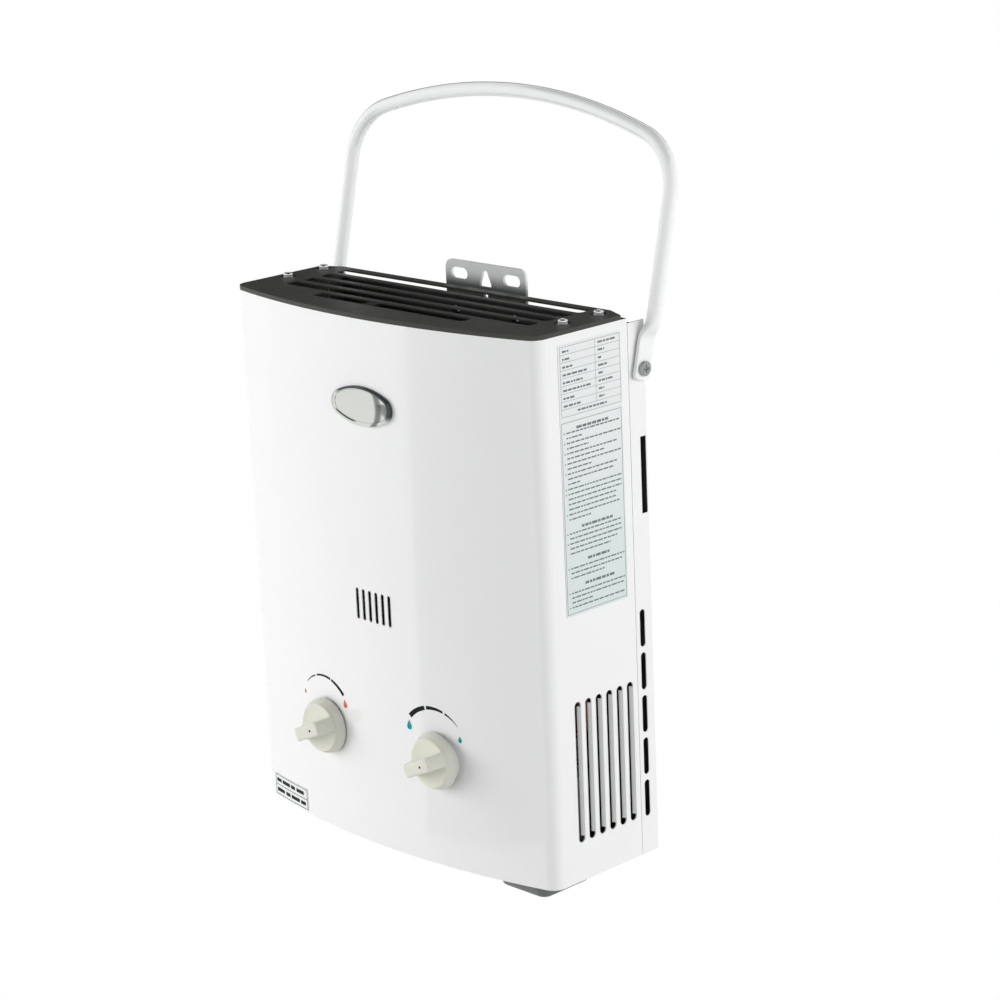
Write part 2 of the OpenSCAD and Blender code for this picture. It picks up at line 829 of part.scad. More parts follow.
module handle_leg() {
    rod_r = handle_rod_d / 2;
    difference() {
        union() {
            intersection() {
                translate([0, tab_w, 0]) toward_front() linear_extrude(2 * tab_w) tab_profile_2d();
                rotate([90, 0, 90]) linear_extrude(leg_x + tab_w) tab_outline_2d();
            }
            translate([tab_x, 0, 0]) along_x() linear_extrude(tab_t)
                rounded_2d(2 * tab_end, tab_w, tab_corner_r);
        }
        translate([tab_x - past, 0, 0]) along_x() cylinder(d = pivot_d + 2 * run_fit, h = tab_t + 2 * past);
    }
    translate([leg_x, 0, joggle_up]) rotate_extrude() intersection() {
        union() {
            circle(rod_r);
            square([rod_r, handle_corner_s - joggle_up]);
        }
        translate([0, -rod_r]) square([rod_r, 2 * handle_reach]);
    }
    translate([handle_corner_x, 0, handle_corner_s]) toward_front()
        rotate_extrude(angle = 90 - grip_angle) translate([handle_corner_r, 0]) circle(rod_r);
    translate([leg_x, 0, handle_corner_s]) sphere(rod_r + joint_swell);
    translate([grip_r * sin(grip_angle), 0, grip_center + grip_r * cos(grip_angle)])
        sphere(rod_r + joint_swell);
}

module handle() {
    color("white") translate([0, pivot_y, pivot_z]) rotate([-handle_lean, 0, 0]) {
        handle_leg();
        mirror([1, 0, 0]) handle_leg();
        translate([0, 0, grip_center]) toward_front() rotate(90 - grip_angle)
            rotate_extrude(angle = 2 * grip_angle, $fn = arc_fn) translate([grip_r, 0])
                circle(handle_rod_d / 2, $fn = 48);
    }
}

module handle_screws() {
    color("white") for (side = [0, 1]) mirror([side, 0, 0])
        translate([tab_x + tab_t + 0.1, pivot_y, pivot_z]) along_x()
            pan_screw(pivot_d / 2, tab_x + tab_t - inner_w + pivot_nut_h + past, pivot_head_r, pivot_head_h);
}

module handle_washers() {
    color("silver") for (side = [0, 1]) mirror([side, 0, 0])
        translate([half_w, pivot_y, pivot_z]) along_x()
            linear_extrude(handle_washer_t) ring_2d(tab_w / 2 - 0.5, pivot_d / 2 + run_fit);
}

module handle_nuts() {
    color("silver") for (side = [0, 1]) mirror([side, 0, 0])
        translate([inner_w - pivot_nut_h, pivot_y, pivot_z]) along_x() linear_extrude(pivot_nut_h)
            difference() {
                circle(d = 1.6 * pivot_d, $fn = 6);
                circle(pivot_d / 2 + run_fit);
            }
}

// ---- Knobs and spindles ----

// Section of the knob's bore, round with one flat
module bore_2d(grow) {
    difference() {
        circle(spindle_d / 2 + grow);
        translate([-spindle_d, spindle_d * flat_share + grow]) square(2 * spindle_d);
    }
}

// A low round knob with a grip bar standing on its face, its back at Z = 0
module knob() {
    rotate(knob_angle) difference() {
        union() {
            cylinder(d = knob_d, h = knob_base_h);
            translate([0, 0, knob_base_h])
                cylinder(d1 = knob_d, d2 = knob_face_d, h = knob_h - knob_base_h);
        }
        for (side = [0, 1]) mirror([0, side, 0])
            translate([-knob_d, knob_bar_w / 2, knob_floor]) cube([2 * knob_d, knob_d, knob_h]);
        translate([0, 0, -past]) linear_extrude(knob_bore_h + past) bore_2d(run_fit);
        translate([pointer_at, 0, knob_h - 0.4]) cylinder(r = pointer_r, h = past);
    }
}

module gas_knob() {
    color("ivory") translate([-knob_x, knob_y, knob_z]) toward_front() knob();
}

module water_knob() {
    color("ivory") translate([knob_x, knob_y, knob_z]) toward_front() knob();
}

// From inside the valve to inside the knob, its end in the knob flattened
module spindle() {
    big_l = spindle_end_y - valve_boss_y + 2;
    round_l = spindle_end_y - knob_y - past;
    translate([0, spindle_end_y, 0]) toward_front() difference() {
        union() {
            cylinder(r = spindle_big_r, h = big_l);
            translate([0, 0, big_l]) cylinder(d = spindle_d, h = round_l - big_l + past + knob_bore_h - fit);
        }
        rotate(knob_angle) translate([-spindle_d, spindle_d * flat_share, round_l])
            cube([2 * spindle_d, spindle_d, knob_bore_h + 2 * past]);
    }
}

module gas_spindle() {
    color("goldenrod") translate([-knob_x, 0, knob_z]) spindle();
}

module water_spindle() {
    color("goldenrod") translate([knob_x, 0, knob_z]) spindle();
}

// ---- Gas side ----

module valve_block(x) {
    box(x, [valve_front, valve_rear], [valve_low, valve_high]);
}

module valve_boss(x) {
    translate([x, valve_front, valve_z]) toward_front()
        cylinder(r = valve_boss_r, h = valve_front - valve_boss_y);
}

module spindle_bore(x) {
    translate([x, spindle_end_y + fit, valve_z]) toward_front()
        cylinder(r = spindle_big_r + run_fit, h = spindle_end_y - valve_boss_y + past);
}

module gas_valve_body() {
    color("lightsteelblue") difference() {
        union() {
            valve_block(gas_body_x);
            valve_boss(-knob_x);
        }
        spindle_bore(-knob_x);
        translate([gas_body_x[1] - 16, valve_y, valve_z]) along_x() cylinder(r = rod_r + run_fit, h = 20);
        translate([-gas_in_x, fitting_y, valve_low - past]) cylinder(r = fitting_bore_r, h = 10);
        translate([gas_rise_x, fitting_y, valve_high - 9]) cylinder(r = gas_pipe_r - pipe_t, h = 10);
    }
}

module solenoid_valve() {
    color("dimgray") translate([gas_body_x[0] - solenoid_l, valve_y, valve_z]) along_x() {
        cylinder(r = solenoid_r, h = solenoid_l - 4);
        translate([0, 0, solenoid_l - 4]) cylinder(r = solenoid_r - 3, h = 4);
    }
}

// A seat under a valve, a tube down through the pan, a hexagon and a threaded end
module bottom_fitting(top_z) {
    difference() {
        union() {
            translate([0, 0, top_z - seat_h]) cylinder(r = seat_r, h = seat_h);
            translate([0, 0, fitting_low]) cylinder(r = fitting_tube_r, h = top_z - fitting_low);
            translate([0, 0, fitting_low + thread_l]) cylinder(r = hex_r, h = hex_h, $fn = 6);
            translate([0, 0, fitting_low]) cylinder(d = thread_d, h = thread_l);
        }
        translate([0, 0, fitting_low - past])
            cylinder(r = fitting_bore_r, h = top_z - fitting_low + 2 * past);
    }
}

module gas_inlet() {
    color("goldenrod") translate([-gas_in_x, fitting_y, 0]) bottom_fitting(valve_low);
}

module gas_pipe() {
    color("peru") tube_path([
        [gas_rise_x, fitting_y, valve_high],
        [gas_rise_x, fitting_y, gas_rise_z],
        [gas_rise_x, manifold_back - manifold_size / 2, gas_rise_z],
        [gas_rise_x, manifold_back - manifold_size / 2, manifold_z - manifold_size / 2]
    ], gas_pipe_r, gas_pipe_r - pipe_t, gas_pipe_r + past);
}

function bar_x(i) = (i - (burner_count - 1) / 2) * bar_pitch;

module gas_manifold() {
    color("silver") difference() {
        box([-chamber_x, chamber_x], [manifold_back - manifold_size, manifold_back],
            [manifold_z - manifold_size / 2, manifold_z + manifold_size / 2]);
        translate([-chamber_x + 4, manifold_back - manifold_size / 2, manifold_z]) along_x()
            cylinder(r = 4, h = chamber_w - 8);
        translate([gas_rise_x, manifold_back - manifold_size / 2, manifold_z - manifold_size])
            cylinder(r = gas_pipe_r - pipe_t, h = manifold_size);
        for (i = [0:burner_count - 1]) translate([bar_x(i), manifold_back + past, manifold_z]) toward_front()
            cylinder(r = 1, h = manifold_size / 2);
    }
}

module injectors() {
    color("gold") for (i = [0:burner_count - 1]) translate([bar_x(i), manifold_back, manifold_z])
        rotate([-90, 0, 0]) difference() {
            union() {
                cylinder(r = injector_r + 1.5, h = 2, $fn = 6);
                cylinder(r = injector_r, h = 6);
            }
            translate([0, 0, -past]) cylinder(r = 0.5, h = 8);
        }
}

module burner_bar() {
    difference() {
        union() {
            translate([-bar_w / 2, bar_y[0] + 6, bar_mix_z])
                cube([bar_w, bar_y[1] - bar_y[0] - 6, burner_z - bar_mix_z]);
            translate([0, bar_y[1], bar_mix_z]) toward_front()
                cylinder(r = bar_mix_r, h = bar_y[1] - bar_y[0]);
            translate([-bar_w / 2, bar_y[0] + 6, bar_z]) cube([bar_w, rail_w, bar_mix_z - bar_z]);
            translate([-bar_w / 2, bar_y[1] - 8, bar_z]) cube([bar_w, rail_w, bar_mix_z - bar_z]);
        }
        translate([0, bar_y[0] + 40, bar_mix_z]) toward_front() cylinder(r = bar_throat_r, h = 41);
        for (i = [0:6]) translate([-bar_w / 2 + 2.5, bar_y[0] + 12 + i * 7, burner_z - 3])
            cube([bar_w - 5, port_w, 4]);
    }
}

module burner_bars() {
    color("slategray") for (i = [0:burner_count - 1]) translate([bar_x(i), 0, 0]) burner_bar();
}

module burner_frame() {
    color("lightgray") {
        for (x = [-chamber_x, chamber_x - frame_t])
            translate([x, chamber_front, frame_z]) cube([frame_t, chamber_d, chamber_z[0] - frame_z]);
        box([-chamber_x, chamber_x], [chamber_back - frame_t, chamber_back], [frame_z, chamber_z[0]]);
        box([-chamber_x, chamber_x], [chamber_front, chamber_front + frame_t],
            [chamber_z[0] - 16, chamber_z[0]]);
        for (y = [bar_y[0] + 6, bar_y[1] - 8])
            box([-chamber_x, chamber_x], [y, y + rail_w], [frame_z, bar_z]);
    }
}

module mounting_brackets() {
    color("lightgray") for (side = [-1, 1]) {
        translate([side * 70 - 10, chamber_back, frame_z + 6]) cube([20, wall_y - chamber_back, 36]);
        translate([side * knob_x - 12, valve_rear, valve_z - 12]) cube([24, wall_y - valve_rear, 24]);
    }
}

// An insulated rod through the chamber's front wall, with a wire over the burner
module electrode() {
    translate([0, electrode_y[1], electrode_z]) toward_front()
        cylinder(r = electrode_r, h = electrode_y[1] - electrode_y[0]);
    translate([0, electrode_y[1] + 14, electrode_z]) toward_front() cylinder(r = 1, h = 14);
    translate([-9, chamber_front - 1.5, electrode_z - 5]) difference() {
        cube([18, 1.5, 10]);
        translate([9, 2, 5]) toward_front() cylinder(r = electrode_r - 0.5, h = 3);
    }
}

module igniter_electrode() {
    color("ivory") translate([-electrode_x, 0, 0]) electrode();
}

module flame_sensor() {
    color("ivory") translate([electrode_x, 0, 0]) electrode();
}

// ---- Water side ----

module water_valve_body() {
    color("darkgoldenrod") difference() {
        union() {
            valve_block([water_body_x[0] + flange_t, water_body_x[1]]);
            valve_boss(knob_x);
            translate([water_body_x[0], valve_y, valve_z]) along_x() cylinder(r = flange_r, h = flange_t);
        }
        spindle_bore(knob_x);
        translate([water_body_x[0] - past, valve_y, valve_z]) along_x() cylinder(r = 18, h = 3);
        for (x = [cold_in_x, drain_x]) translate([x, fitting_y, valve_low - past])
            cylinder(r = fitting_bore_r, h = 10);
        translate([water_body_x[1] - 10, valve_y, cold_low_z]) along_x()
            cylinder(r = pipe_d / 2 - pipe_t, h = 12);
    }
}

module diaphragm() {
    color("black") translate([water_body_x[0] - diaphragm_t, valve_y, valve_z]) along_x()
        cylinder(r = flange_r, h = diaphragm_t);
}

module diaphragm_cover() {
    color("darkgoldenrod") translate([cover_end_x, valve_y, valve_z]) along_x() difference() {
        union() {
            translate([0, 0, diaphragm_cover_t - flange_t]) cylinder(r = flange_r, h = flange_t);
            cylinder(r = flange_r - 7, h = diaphragm_cover_t);
            for (turn = [45:90:315]) rotate(turn)
                translate([flange_r - 3.5, 0, diaphragm_cover_t - flange_t - 2])
                    cylinder(r = 3, h = 2, $fn = 6);
        }
        translate([0, 0, -past]) cylinder(r = rod_r + run_fit, h = diaphragm_cover_t + 2 * past);
        translate([0, 0, 3]) cylinder(r = 18, h = diaphragm_cover_t);
    }
}

module linkage_rod() {
    rod_end = water_body_x[0] - diaphragm_t - fit;
    rod_tip = gas_body_x[1] - 16 + rod_travel + 2;
    color("silver") {
        translate([rod_tip, valve_y, valve_z]) along_x() cylinder(r = rod_r, h = rod_end - rod_tip);
        translate([collar_x, valve_y, valve_z]) along_x() cylinder(r = collar_r, h = collar_t);
        translate([rod_end - 1.5, valve_y, valve_z]) along_x() cylinder(r = 15, h = 1.5);
    }
}

module micro_switch() {
    color("darkslategray") difference() {
        union() {
            translate([switch_x[0], valve_y - switch_size[0] / 2, plunger_z - 3])
                cube([switch_x[1] - switch_x[0], switch_size[0], switch_size[1]]);
            translate([gas_body_x[1], valve_y - switch_size[0] / 2, plunger_z + 3])
                cube([switch_x[0] - gas_body_x[1], switch_size[0], 8]);
        }
        translate([switch_x[0] + 3, valve_y, plunger_z]) along_x() cylinder(r = plunger_r + run_fit, h = 20);
    }
}

module switch_plunger() {
    plunger_start = switch_x[0] + 3 + rod_travel + 1;
    color("red") translate([plunger_start, valve_y, plunger_z]) along_x()
        cylinder(r = plunger_r, h = collar_x - fit - plunger_start);
}

module water_inlet() {
    color("goldenrod") translate([cold_in_x, fitting_y, 0]) bottom_fitting(valve_low);
}

module water_outlet() {
    color("goldenrod") translate([0, fitting_y, 0]) bottom_fitting(outlet_z - pipe_bend - 4);
}

module drain_plug() {
    color("goldenrod") translate([drain_x, fitting_y, 0]) {
        translate([0, 0, valve_low - 12]) cylinder(r = 6, h = 12);
        translate([0, 0, valve_low - 18]) cylinder(r = 9, h = 6, $fn = 6);
    }
}

module cold_pipe() {
    color("peru") tube_path([
        [water_body_x[1], valve_y, cold_low_z],
        [cold_x, valve_y, cold_low_z],
        [cold_x, valve_y, cold_top]
    ], pipe_d / 2, pipe_d / 2 - pipe_t, pipe_bend);
}

module coil_pipe() {
    color("peru") {
        tube_path([
            [cold_x, valve_y, cold_top],
            [cold_x, valve_y, coil_z[0]],
            [cold_x, coil_front, coil_z[0]],
            [-coil_x, coil_front, coil_z[0]],
            [-coil_x, coil_back, coil_z[0]],
            [coil_step_x, coil_back, coil_z[0]],
            [coil_step_x, coil_back, coil_z[1]],
            [coil_x, coil_back, coil_z[1]],
            [coil_x, coil_front, coil_z[1]],
            [-coil_x, coil_front, coil_z[1]],
            [-coil_x, coil_back, coil_z[1]],
            [coil_rise_x, coil_back, coil_z[1]],
            [coil_rise_x, coil_back, tube_z],
            [coil_end_x, coil_back, tube_z],
            [coil_end_x, tube_first_y, tube_z],
            [tube_turn_x, tube_first_y, tube_z]
        ], pipe_d / 2, pipe_d / 2 - pipe_t, coil_bend);
        translate([cold_x, valve_y, cold_top]) linear_extrude(10)
            ring_2d(pipe_d / 2 + 3, pipe_d / 2 - pipe_t);
    }
}

function pass_y(i) = tube_first_y - tube_pitch * i;

// Corners of the tube's zigzag through the fins
tube_points = concat(
    [[tube_turn_x, pass_y(0), tube_z]],
    [for (i = [0:pass_count - 2]) each [
        [(i % 2 == 0 ? -1 : 1) * tube_turn_x, pass_y(i), tube_z],
        [(i % 2 == 0 ? -1 : 1) * tube_turn_x, pass_y(i + 1), tube_z]
    ]],
    [[tube_end_x, tube_last_y, tube_z]]
);

module exchanger_tube() {
    color("peru") tube_path(tube_points, tube_r, tube_r - pipe_t, tube_bend);
}

module hot_pipe() {
    color("peru") tube_path([
        [tube_end_x, tube_last_y, tube_z],
        [hot_x, tube_last_y, tube_z],
        [hot_x, tube_last_y, outlet_z],
        [0, tube_last_y, outlet_z],
        [0, fitting_y, outlet_z],
        [0, fitting_y, outlet_z - pipe_bend - 4]
    ], hot_r, hot_r - pipe_t, pipe_bend);
}

// ---- Combustion chamber and flue ----

module combustion_chamber() {
    color("sandybrown") difference() {
        box([-chamber_x, chamber_x], [chamber_front, chamber_back], chamber_z);
        box([-chamber_x + chamber_t, chamber_x - chamber_t],
            [chamber_front + chamber_t, chamber_back - chamber_t],
            [chamber_z[0] - past, chamber_z[1] + past]);
        for (i = [0:pass_count - 1]) translate([-chamber_x - past, pass_y(i), tube_z]) along_x()
            cylinder(r = tube_hole_r, h = chamber_w + 2 * past);
        for (side = [-1, 1]) translate([side * electrode_x, chamber_front + 3, electrode_z]) toward_front()
            cylinder(r = electrode_r + run_fit, h = 6);
        translate([0, chamber_front, sight_z]) cube([sight_hole[0], 6, sight_hole[1]], center = true);
    }
}

module sight_glass() {
    color("lightblue", 0.5) translate([0, chamber_front - glass_t / 2, sight_z])
        cube([sight_hole[0] + 2 * glass_lap, glass_t, sight_hole[1] + 2 * glass_lap], center = true);
}

module exchanger_fins() {
    color("sandybrown") for (i = [0:fin_count - 1])
        translate([(i - (fin_count - 1) / 2) * fin_pitch - fin_t / 2, 0, 0]) difference() {
            box([0, fin_t], [chamber_front + chamber_t, chamber_back - chamber_t], fin_z);
            for (k = [0:pass_count - 1]) translate([-past, pass_y(k), tube_z]) along_x()
                cylinder(r = tube_hole_r, h = fin_t + 2 * past);
        }
}

module hood_side_2d(inset) {
    polygon([
        [chamber_front + inset, hood_z[0]],
        [chamber_back - inset, hood_z[0]],
        [chamber_back - inset, hood_z[1] - inset],
        [chamber_front + hood_slope + inset, hood_z[1] - inset],
        [chamber_front + inset, hood_z[1] - hood_slope - inset]
    ]);
}

// Extrudes a drawing of Y and Z along X
module side_extrude(w) {
    translate([-w / 2, 0, 0]) rotate([90, 0, 90]) linear_extrude(w) children();
}

module flue_hood() {
    color("silver") difference() {
        side_extrude(chamber_w) hood_side_2d(0);
        side_extrude(chamber_w - 2 * chamber_t) {
            hood_side_2d(chamber_t);
            translate([chamber_front + chamber_t, hood_z[0] - past])
                square([chamber_d - 2 * chamber_t, past + 5]);
        }
        translate([0, chamber_back - chamber_t - hood_exit[1] / 2 - 2, hood_z[1]])
            cube([hood_exit[0], hood_exit[1], 8], center = true);
    }
}

module overheat_thermostat() {
    color("black") translate([thermostat_x, chamber_front, thermostat_z]) toward_front() {
        cylinder(r = thermostat_r, h = 6);
        cylinder(r = thermostat_r - 3, h = 9);
    }
}

// ---- Ignition ----

module ignition_box() {
    color("dimgray") box(igniter_box_x, igniter_box_y, igniter_box_z);
}

module igniter_leads() {
    color("firebrick") {
        tube_path([
            [-electrode_x, electrode_y[0], electrode_z],
            [-electrode_x, lead_front, electrode_z],
            [igniter_mid_x, lead_front, electrode_z],
            [igniter_mid_x, igniter_box_y[0], electrode_z]
        ], lead_r, 0, lead_bend);
        tube_path([
            [electrode_x, electrode_y[0], electrode_z],
            [electrode_x, lead_front, electrode_z],
            [electrode_x, lead_front, electrode_z - 12],
            [igniter_mid_x + 5, lead_front, electrode_z - 12],
            [igniter_mid_x + 5, igniter_box_y[0], electrode_z - 12]
        ], lead_r, 0, lead_bend);
    }
}

module control_leads() {
    color("black") {
        tube_path([
            [thermostat_x, chamber_front - 9, thermostat_z],
            [thermostat_x, lead_front, thermostat_z],
            [igniter_mid_x, lead_front, thermostat_z],
            [igniter_mid_x, lead_turn_y, thermostat_z],
            [igniter_mid_x, lead_turn_y, igniter_box_z[1]]
        ], lead_r, 0, lead_bend);
        tube_path([
            [(switch_x[0] + switch_x[1]) / 2, valve_y, plunger_z - 3 + switch_size[1]],
            [(switch_x[0] + switch_x[1]) / 2, valve_y, lead_z],
            [igniter_mid_x + 5, valve_y, lead_z],
            [igniter_mid_x + 5, valve_y, igniter_box_z[0]]
        ], lead_r, 0, lead_bend);
        tube_path([
            [gas_body_x[0] - solenoid_l, valve_y, valve_z],
            [igniter_mid_x - 3, valve_y, valve_z],
            [igniter_mid_x - 3, valve_y, igniter_box_z[0]]
        ], lead_r, 0, lead_bend);
    }
}

module battery_lead() {
    color("red") tube_path([
        [cell_x, battery_lead_y, box_high],
        [cell_x, battery_lead_y, lead_z],
        [igniter_mid_x + 2, battery_lead_y, lead_z],
        [igniter_mid_x + 2, battery_lead_y, igniter_box_z[0]]
    ], lead_r, 0, lead_bend);
}

// ---- Battery box ----

module battery_box() {
    color("dimgray") difference() {
        union() {
            box([cell_x - box_half_x - box_wall, cell_x + box_half_x + box_wall],
                [cell_y - box_half_y - box_wall, cell_y + box_half_y + box_wall], [box_low, box_high]);
            box([cell_x - lid_w / 2, cell_x + lid_w / 2], lid_y, [box_low, pan_z]);
            for (side = [-1, 1]) translate([cell_x + side * (knuckle_w + lug_w / 2 + fit) - lug_w / 2, 0, 0])
                hinge_lug();
        }
        box([cell_x - box_half_x, cell_x + box_half_x],
            [cell_y - box_half_y, cell_y + box_half_y], [box_low - past, box_high - box_wall]);
        translate([cell_x - 20, hinge_y, hinge_z]) along_x() cylinder(r = hinge_pin_r, h = 40);
    }
}

// An ear that holds the hinge pin
module hinge_lug() {
    translate([0, hinge_y, hinge_z]) along_x() cylinder(r = hinge_r, h = lug_w);
    translate([0, hinge_y - hinge_r, hinge_z]) cube([lug_w, 2 * hinge_r, pan_z - hinge_z]);
    translate([0, lid_y[1] - 1, box_low]) cube([lug_w, hinge_y - lid_y[1] + 1, pan_z - box_low]);
}

module lid_side_2d(inset) {
    polygon([
        [lid_y[0] + inset, lid_top + (inset > 0 ? past : 0)],
        [lid_y[1] - inset, lid_top + (inset > 0 ? past : 0)],
        [lid_y[1] - inset, lid_top - 2],
        [lid_y[1] - inset - lid_draft, lid_low + inset],
        [lid_y[0] + inset + lid_draft, lid_low + inset],
        [lid_y[0] + inset, lid_top - 2]
    ]);
}

// The lid's outer shape, or its hollow where an inset is given
module lid_shape(inset) {
    intersection() {
        translate([cell_x, 0, 0]) side_extrude(lid_w - 2 * inset) lid_side_2d(inset);
        translate([cell_x, (lid_y[0] + lid_y[1]) / 2, lid_low - past]) linear_extrude(lid_h + 3 * past)
            rounded_2d(lid_w - 2 * inset, lid_y[1] - lid_y[0] - 2 * inset, lid_corner - inset);
    }
}

module battery_lid() {
    color("gray") difference() {
        union() {
            difference() {
                lid_shape(0);
                lid_shape(lid_wall);
            }
            translate([cell_x - knuckle_w, hinge_y, hinge_z]) along_x()
                cylinder(r = hinge_r, h = 2 * knuckle_w);
            translate([cell_x - knuckle_w, lid_y[1] - 1, hinge_z - hinge_r])
                cube([2 * knuckle_w, hinge_y - lid_y[1] + 1, hinge_r]);
        }
        translate([cell_x - 20, hinge_y, hinge_z]) along_x() cylinder(r = hinge_pin_r + run_fit, h = 40);
    }
}

module lid_hinge_pin() {
    pin_l = 2 * (knuckle_w + lug_w + fit);
    color("silver") translate([cell_x - pin_l / 2, hinge_y, hinge_z]) along_x()
        cylinder(r = hinge_pin_r, h = pin_l);
}

module battery_cells() {
    color("gold") for (side = [-1, 1]) translate([cell_x, cell_y + side * cell_pitch / 2, cell_low]) {
        cylinder(d = cell_d, h = cell_l - 1.5);
        cylinder(r = 3, h = cell_l);
    }
}

// Plates above the cells and the springs below them
module battery_contacts() {
    color("silver") {
        for (side = [-1, 1]) translate([cell_x, cell_y + side * cell_pitch / 2, 0]) {
            translate([0, 0, cell_low + cell_l]) cylinder(r = 8, h = box_high - box_wall - cell_low - cell_l);
        }
        box([cell_x - box_half_x, cell_x + box_half_x], [cell_y - 20, cell_y + 20], [box_low, box_low + 1]);
        for (side = [-1, 1]) translate([cell_x, cell_y + side * cell_pitch / 2, box_low + 1])
            cylinder(r1 = 6, r2 = 3, h = contact_h - 1);
    }
}

hung() rear_chassis();
hung() front_cover();
hung() bottom_pan();
hung() top_grille();
hung() grille_screws();
hung() grille_washers();
hung() cover_screws();
hung() wall_bracket();
hung() bracket_rivets();
hung() badge();
hung() side_labels();
hung() service_label();
hung() handle();
hung() handle_screws();
hung() handle_washers();
hung() handle_nuts();
hung() gas_knob();
hung() gas_spindle();
hung() water_knob();
hung() water_spindle();
hung() gas_valve_body();
hung() solenoid_valve();
hung() gas_inlet();
hung() gas_pipe();
hung() gas_manifold();
hung() injectors();
hung() water_valve_body();
hung() diaphragm();
hung() diaphragm_cover();
hung() linkage_rod();
hung() micro_switch();
hung() switch_plunger();
hung() water_inlet();
hung() water_outlet();
hung() drain_plug();
hung() mounting_brackets();
hung() burner_bars();
hung() burner_frame();
hung() igniter_electrode();
hung() flame_sensor();
hung() combustion_chamber();
hung() sight_glass();
hung() exchanger_fins();
hung() exchanger_tube();
hung() coil_pipe();
hung() cold_pipe();
hung() hot_pipe();
hung() flue_hood();
hung() overheat_thermostat();
hung() ignition_box();
hung() igniter_leads();
hung() control_leads();
hung() battery_lead();
hung() battery_box();
hung() battery_lid();
hung() lid_hinge_pin();
hung() battery_cells();
hung() battery_contacts();
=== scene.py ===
"""Portable propane water heater: painted case, badge, knobs, handle, dial marks, labels, lamps and camera.

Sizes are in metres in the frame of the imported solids: X across, the front facing -Y, Z up, and the
middle of the two hanging slots at the origin.
"""

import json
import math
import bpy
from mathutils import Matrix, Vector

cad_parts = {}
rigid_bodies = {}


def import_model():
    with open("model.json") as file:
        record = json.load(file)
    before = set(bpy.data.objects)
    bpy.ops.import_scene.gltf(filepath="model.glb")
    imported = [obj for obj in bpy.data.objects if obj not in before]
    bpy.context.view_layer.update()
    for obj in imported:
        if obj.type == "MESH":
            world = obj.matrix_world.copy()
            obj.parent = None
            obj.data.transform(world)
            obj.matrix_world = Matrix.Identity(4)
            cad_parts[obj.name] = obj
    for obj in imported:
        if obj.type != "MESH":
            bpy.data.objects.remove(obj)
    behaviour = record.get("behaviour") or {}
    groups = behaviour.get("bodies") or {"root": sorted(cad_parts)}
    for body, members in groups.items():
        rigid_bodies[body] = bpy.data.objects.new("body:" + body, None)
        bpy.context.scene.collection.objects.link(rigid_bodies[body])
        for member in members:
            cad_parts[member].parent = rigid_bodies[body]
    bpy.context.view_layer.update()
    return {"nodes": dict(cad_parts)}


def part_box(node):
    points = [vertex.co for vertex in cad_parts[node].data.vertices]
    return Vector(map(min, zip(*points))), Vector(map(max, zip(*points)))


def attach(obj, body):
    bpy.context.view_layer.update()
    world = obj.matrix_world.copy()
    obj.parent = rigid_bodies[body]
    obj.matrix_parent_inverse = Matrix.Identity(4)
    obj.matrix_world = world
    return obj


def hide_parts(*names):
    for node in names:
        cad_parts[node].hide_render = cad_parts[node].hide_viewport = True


bl_info = {
    "name": "Portable Water Heater",
    "version": (1, 0, 0),
    "blender": (4, 5, 0),
    "location": "View3D > Sidebar > Heater",
    "description": "Builds the skins, marks and finishes of a portable propane water heater",
    "category": "Add Mesh",
}

import bmesh
import bpy
import numpy as np
from bpy.props import FloatProperty, FloatVectorProperty, PointerProperty
from bpy.types import Operator, Panel, PropertyGroup
from mathutils import Matrix, Vector

for leftover in list(bpy.data.objects):
    bpy.data.objects.remove(leftover)

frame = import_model()

MM = 0.001
COVER_LOW, COVER_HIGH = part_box("front_cover")
EDGE_Z = COVER_LOW.z
GRILLE_LOW, GRILLE_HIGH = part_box("top_grille")

# Millimetres: the case's half width and foremost y, the bow of its front, its corners' outer radius, and the
# radius and centre of the arc that the front follows.
HALF_W = GRILLE_HIGH.x / MM
FRONT_Y = GRILLE_LOW.y / MM
BOW = 18.7
CORNER_R = 10.25
ARC_R = (HALF_W**2 + BOW**2) / (2 * BOW)
ARC_Y = FRONT_Y + ARC_R

# Millimetres: the knobs' back, the grille's top, the badge's half length, half height and middle, the
# handle's pivots, and how far the labels' print stands before the case.
KNOB_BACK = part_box("gas_knob")[1].y / MM
GRILLE_TOP = (GRILLE_HIGH.z - EDGE_Z) / MM
BADGE_HALF, BADGE_HIGH = 28.5, 13.5
BADGE_Z = COVER_HIGH.z / MM - EDGE_Z / MM - 58.4
PIVOT_Y, PIVOT_Z = -7.2, 335.0
PRINT_PROUD = 0.36
LABEL_X = HALF_W + PRINT_PROUD

# Every finish by its name, filled by one operator.
FINISHES = {}


# ---- Shared shapes: points are millimetres above the cover's lower edge ----


def placed(points):
    """Metres in the frame: q = p / 1000, moved down to the height of the cover's lower edge."""
    q = np.array(points, float) * MM
    q[..., 2] += EDGE_Z
    return q


def front_at(x, proud=0.0):
    """Y of the bowed front: y = arc_y - sqrt((R + proud)^2 - x^2), a circle seen from above."""
    return ARC_Y - np.sqrt((ARC_R + proud) ** 2 - np.asarray(x, float) ** 2)


def net(points, wrap_u=False, wrap_v=False):
    """Points P[i, j] of a grid and quads (i, j) (i+1, j) (i+1, j+1) (i, j+1), wrapped where a side closes."""
    nu, nv = points.shape[:2]
    i, j = np.meshgrid(
        np.arange(nu if wrap_u else nu - 1), np.arange(nv if wrap_v else nv - 1), indexing="ij"
    )
    k, m = (i + 1) % nu, (j + 1) % nv
    quads = np.stack([i * nv + j, k * nv + j, k * nv + m, i * nv + m], -1)
    return points.reshape(-1, 3), quads.reshape(-1, 4)


def full_turn(count):
    """Angles of a full turn, its end left out."""
    return np.linspace(0, 2 * np.pi, count, endpoint=False)


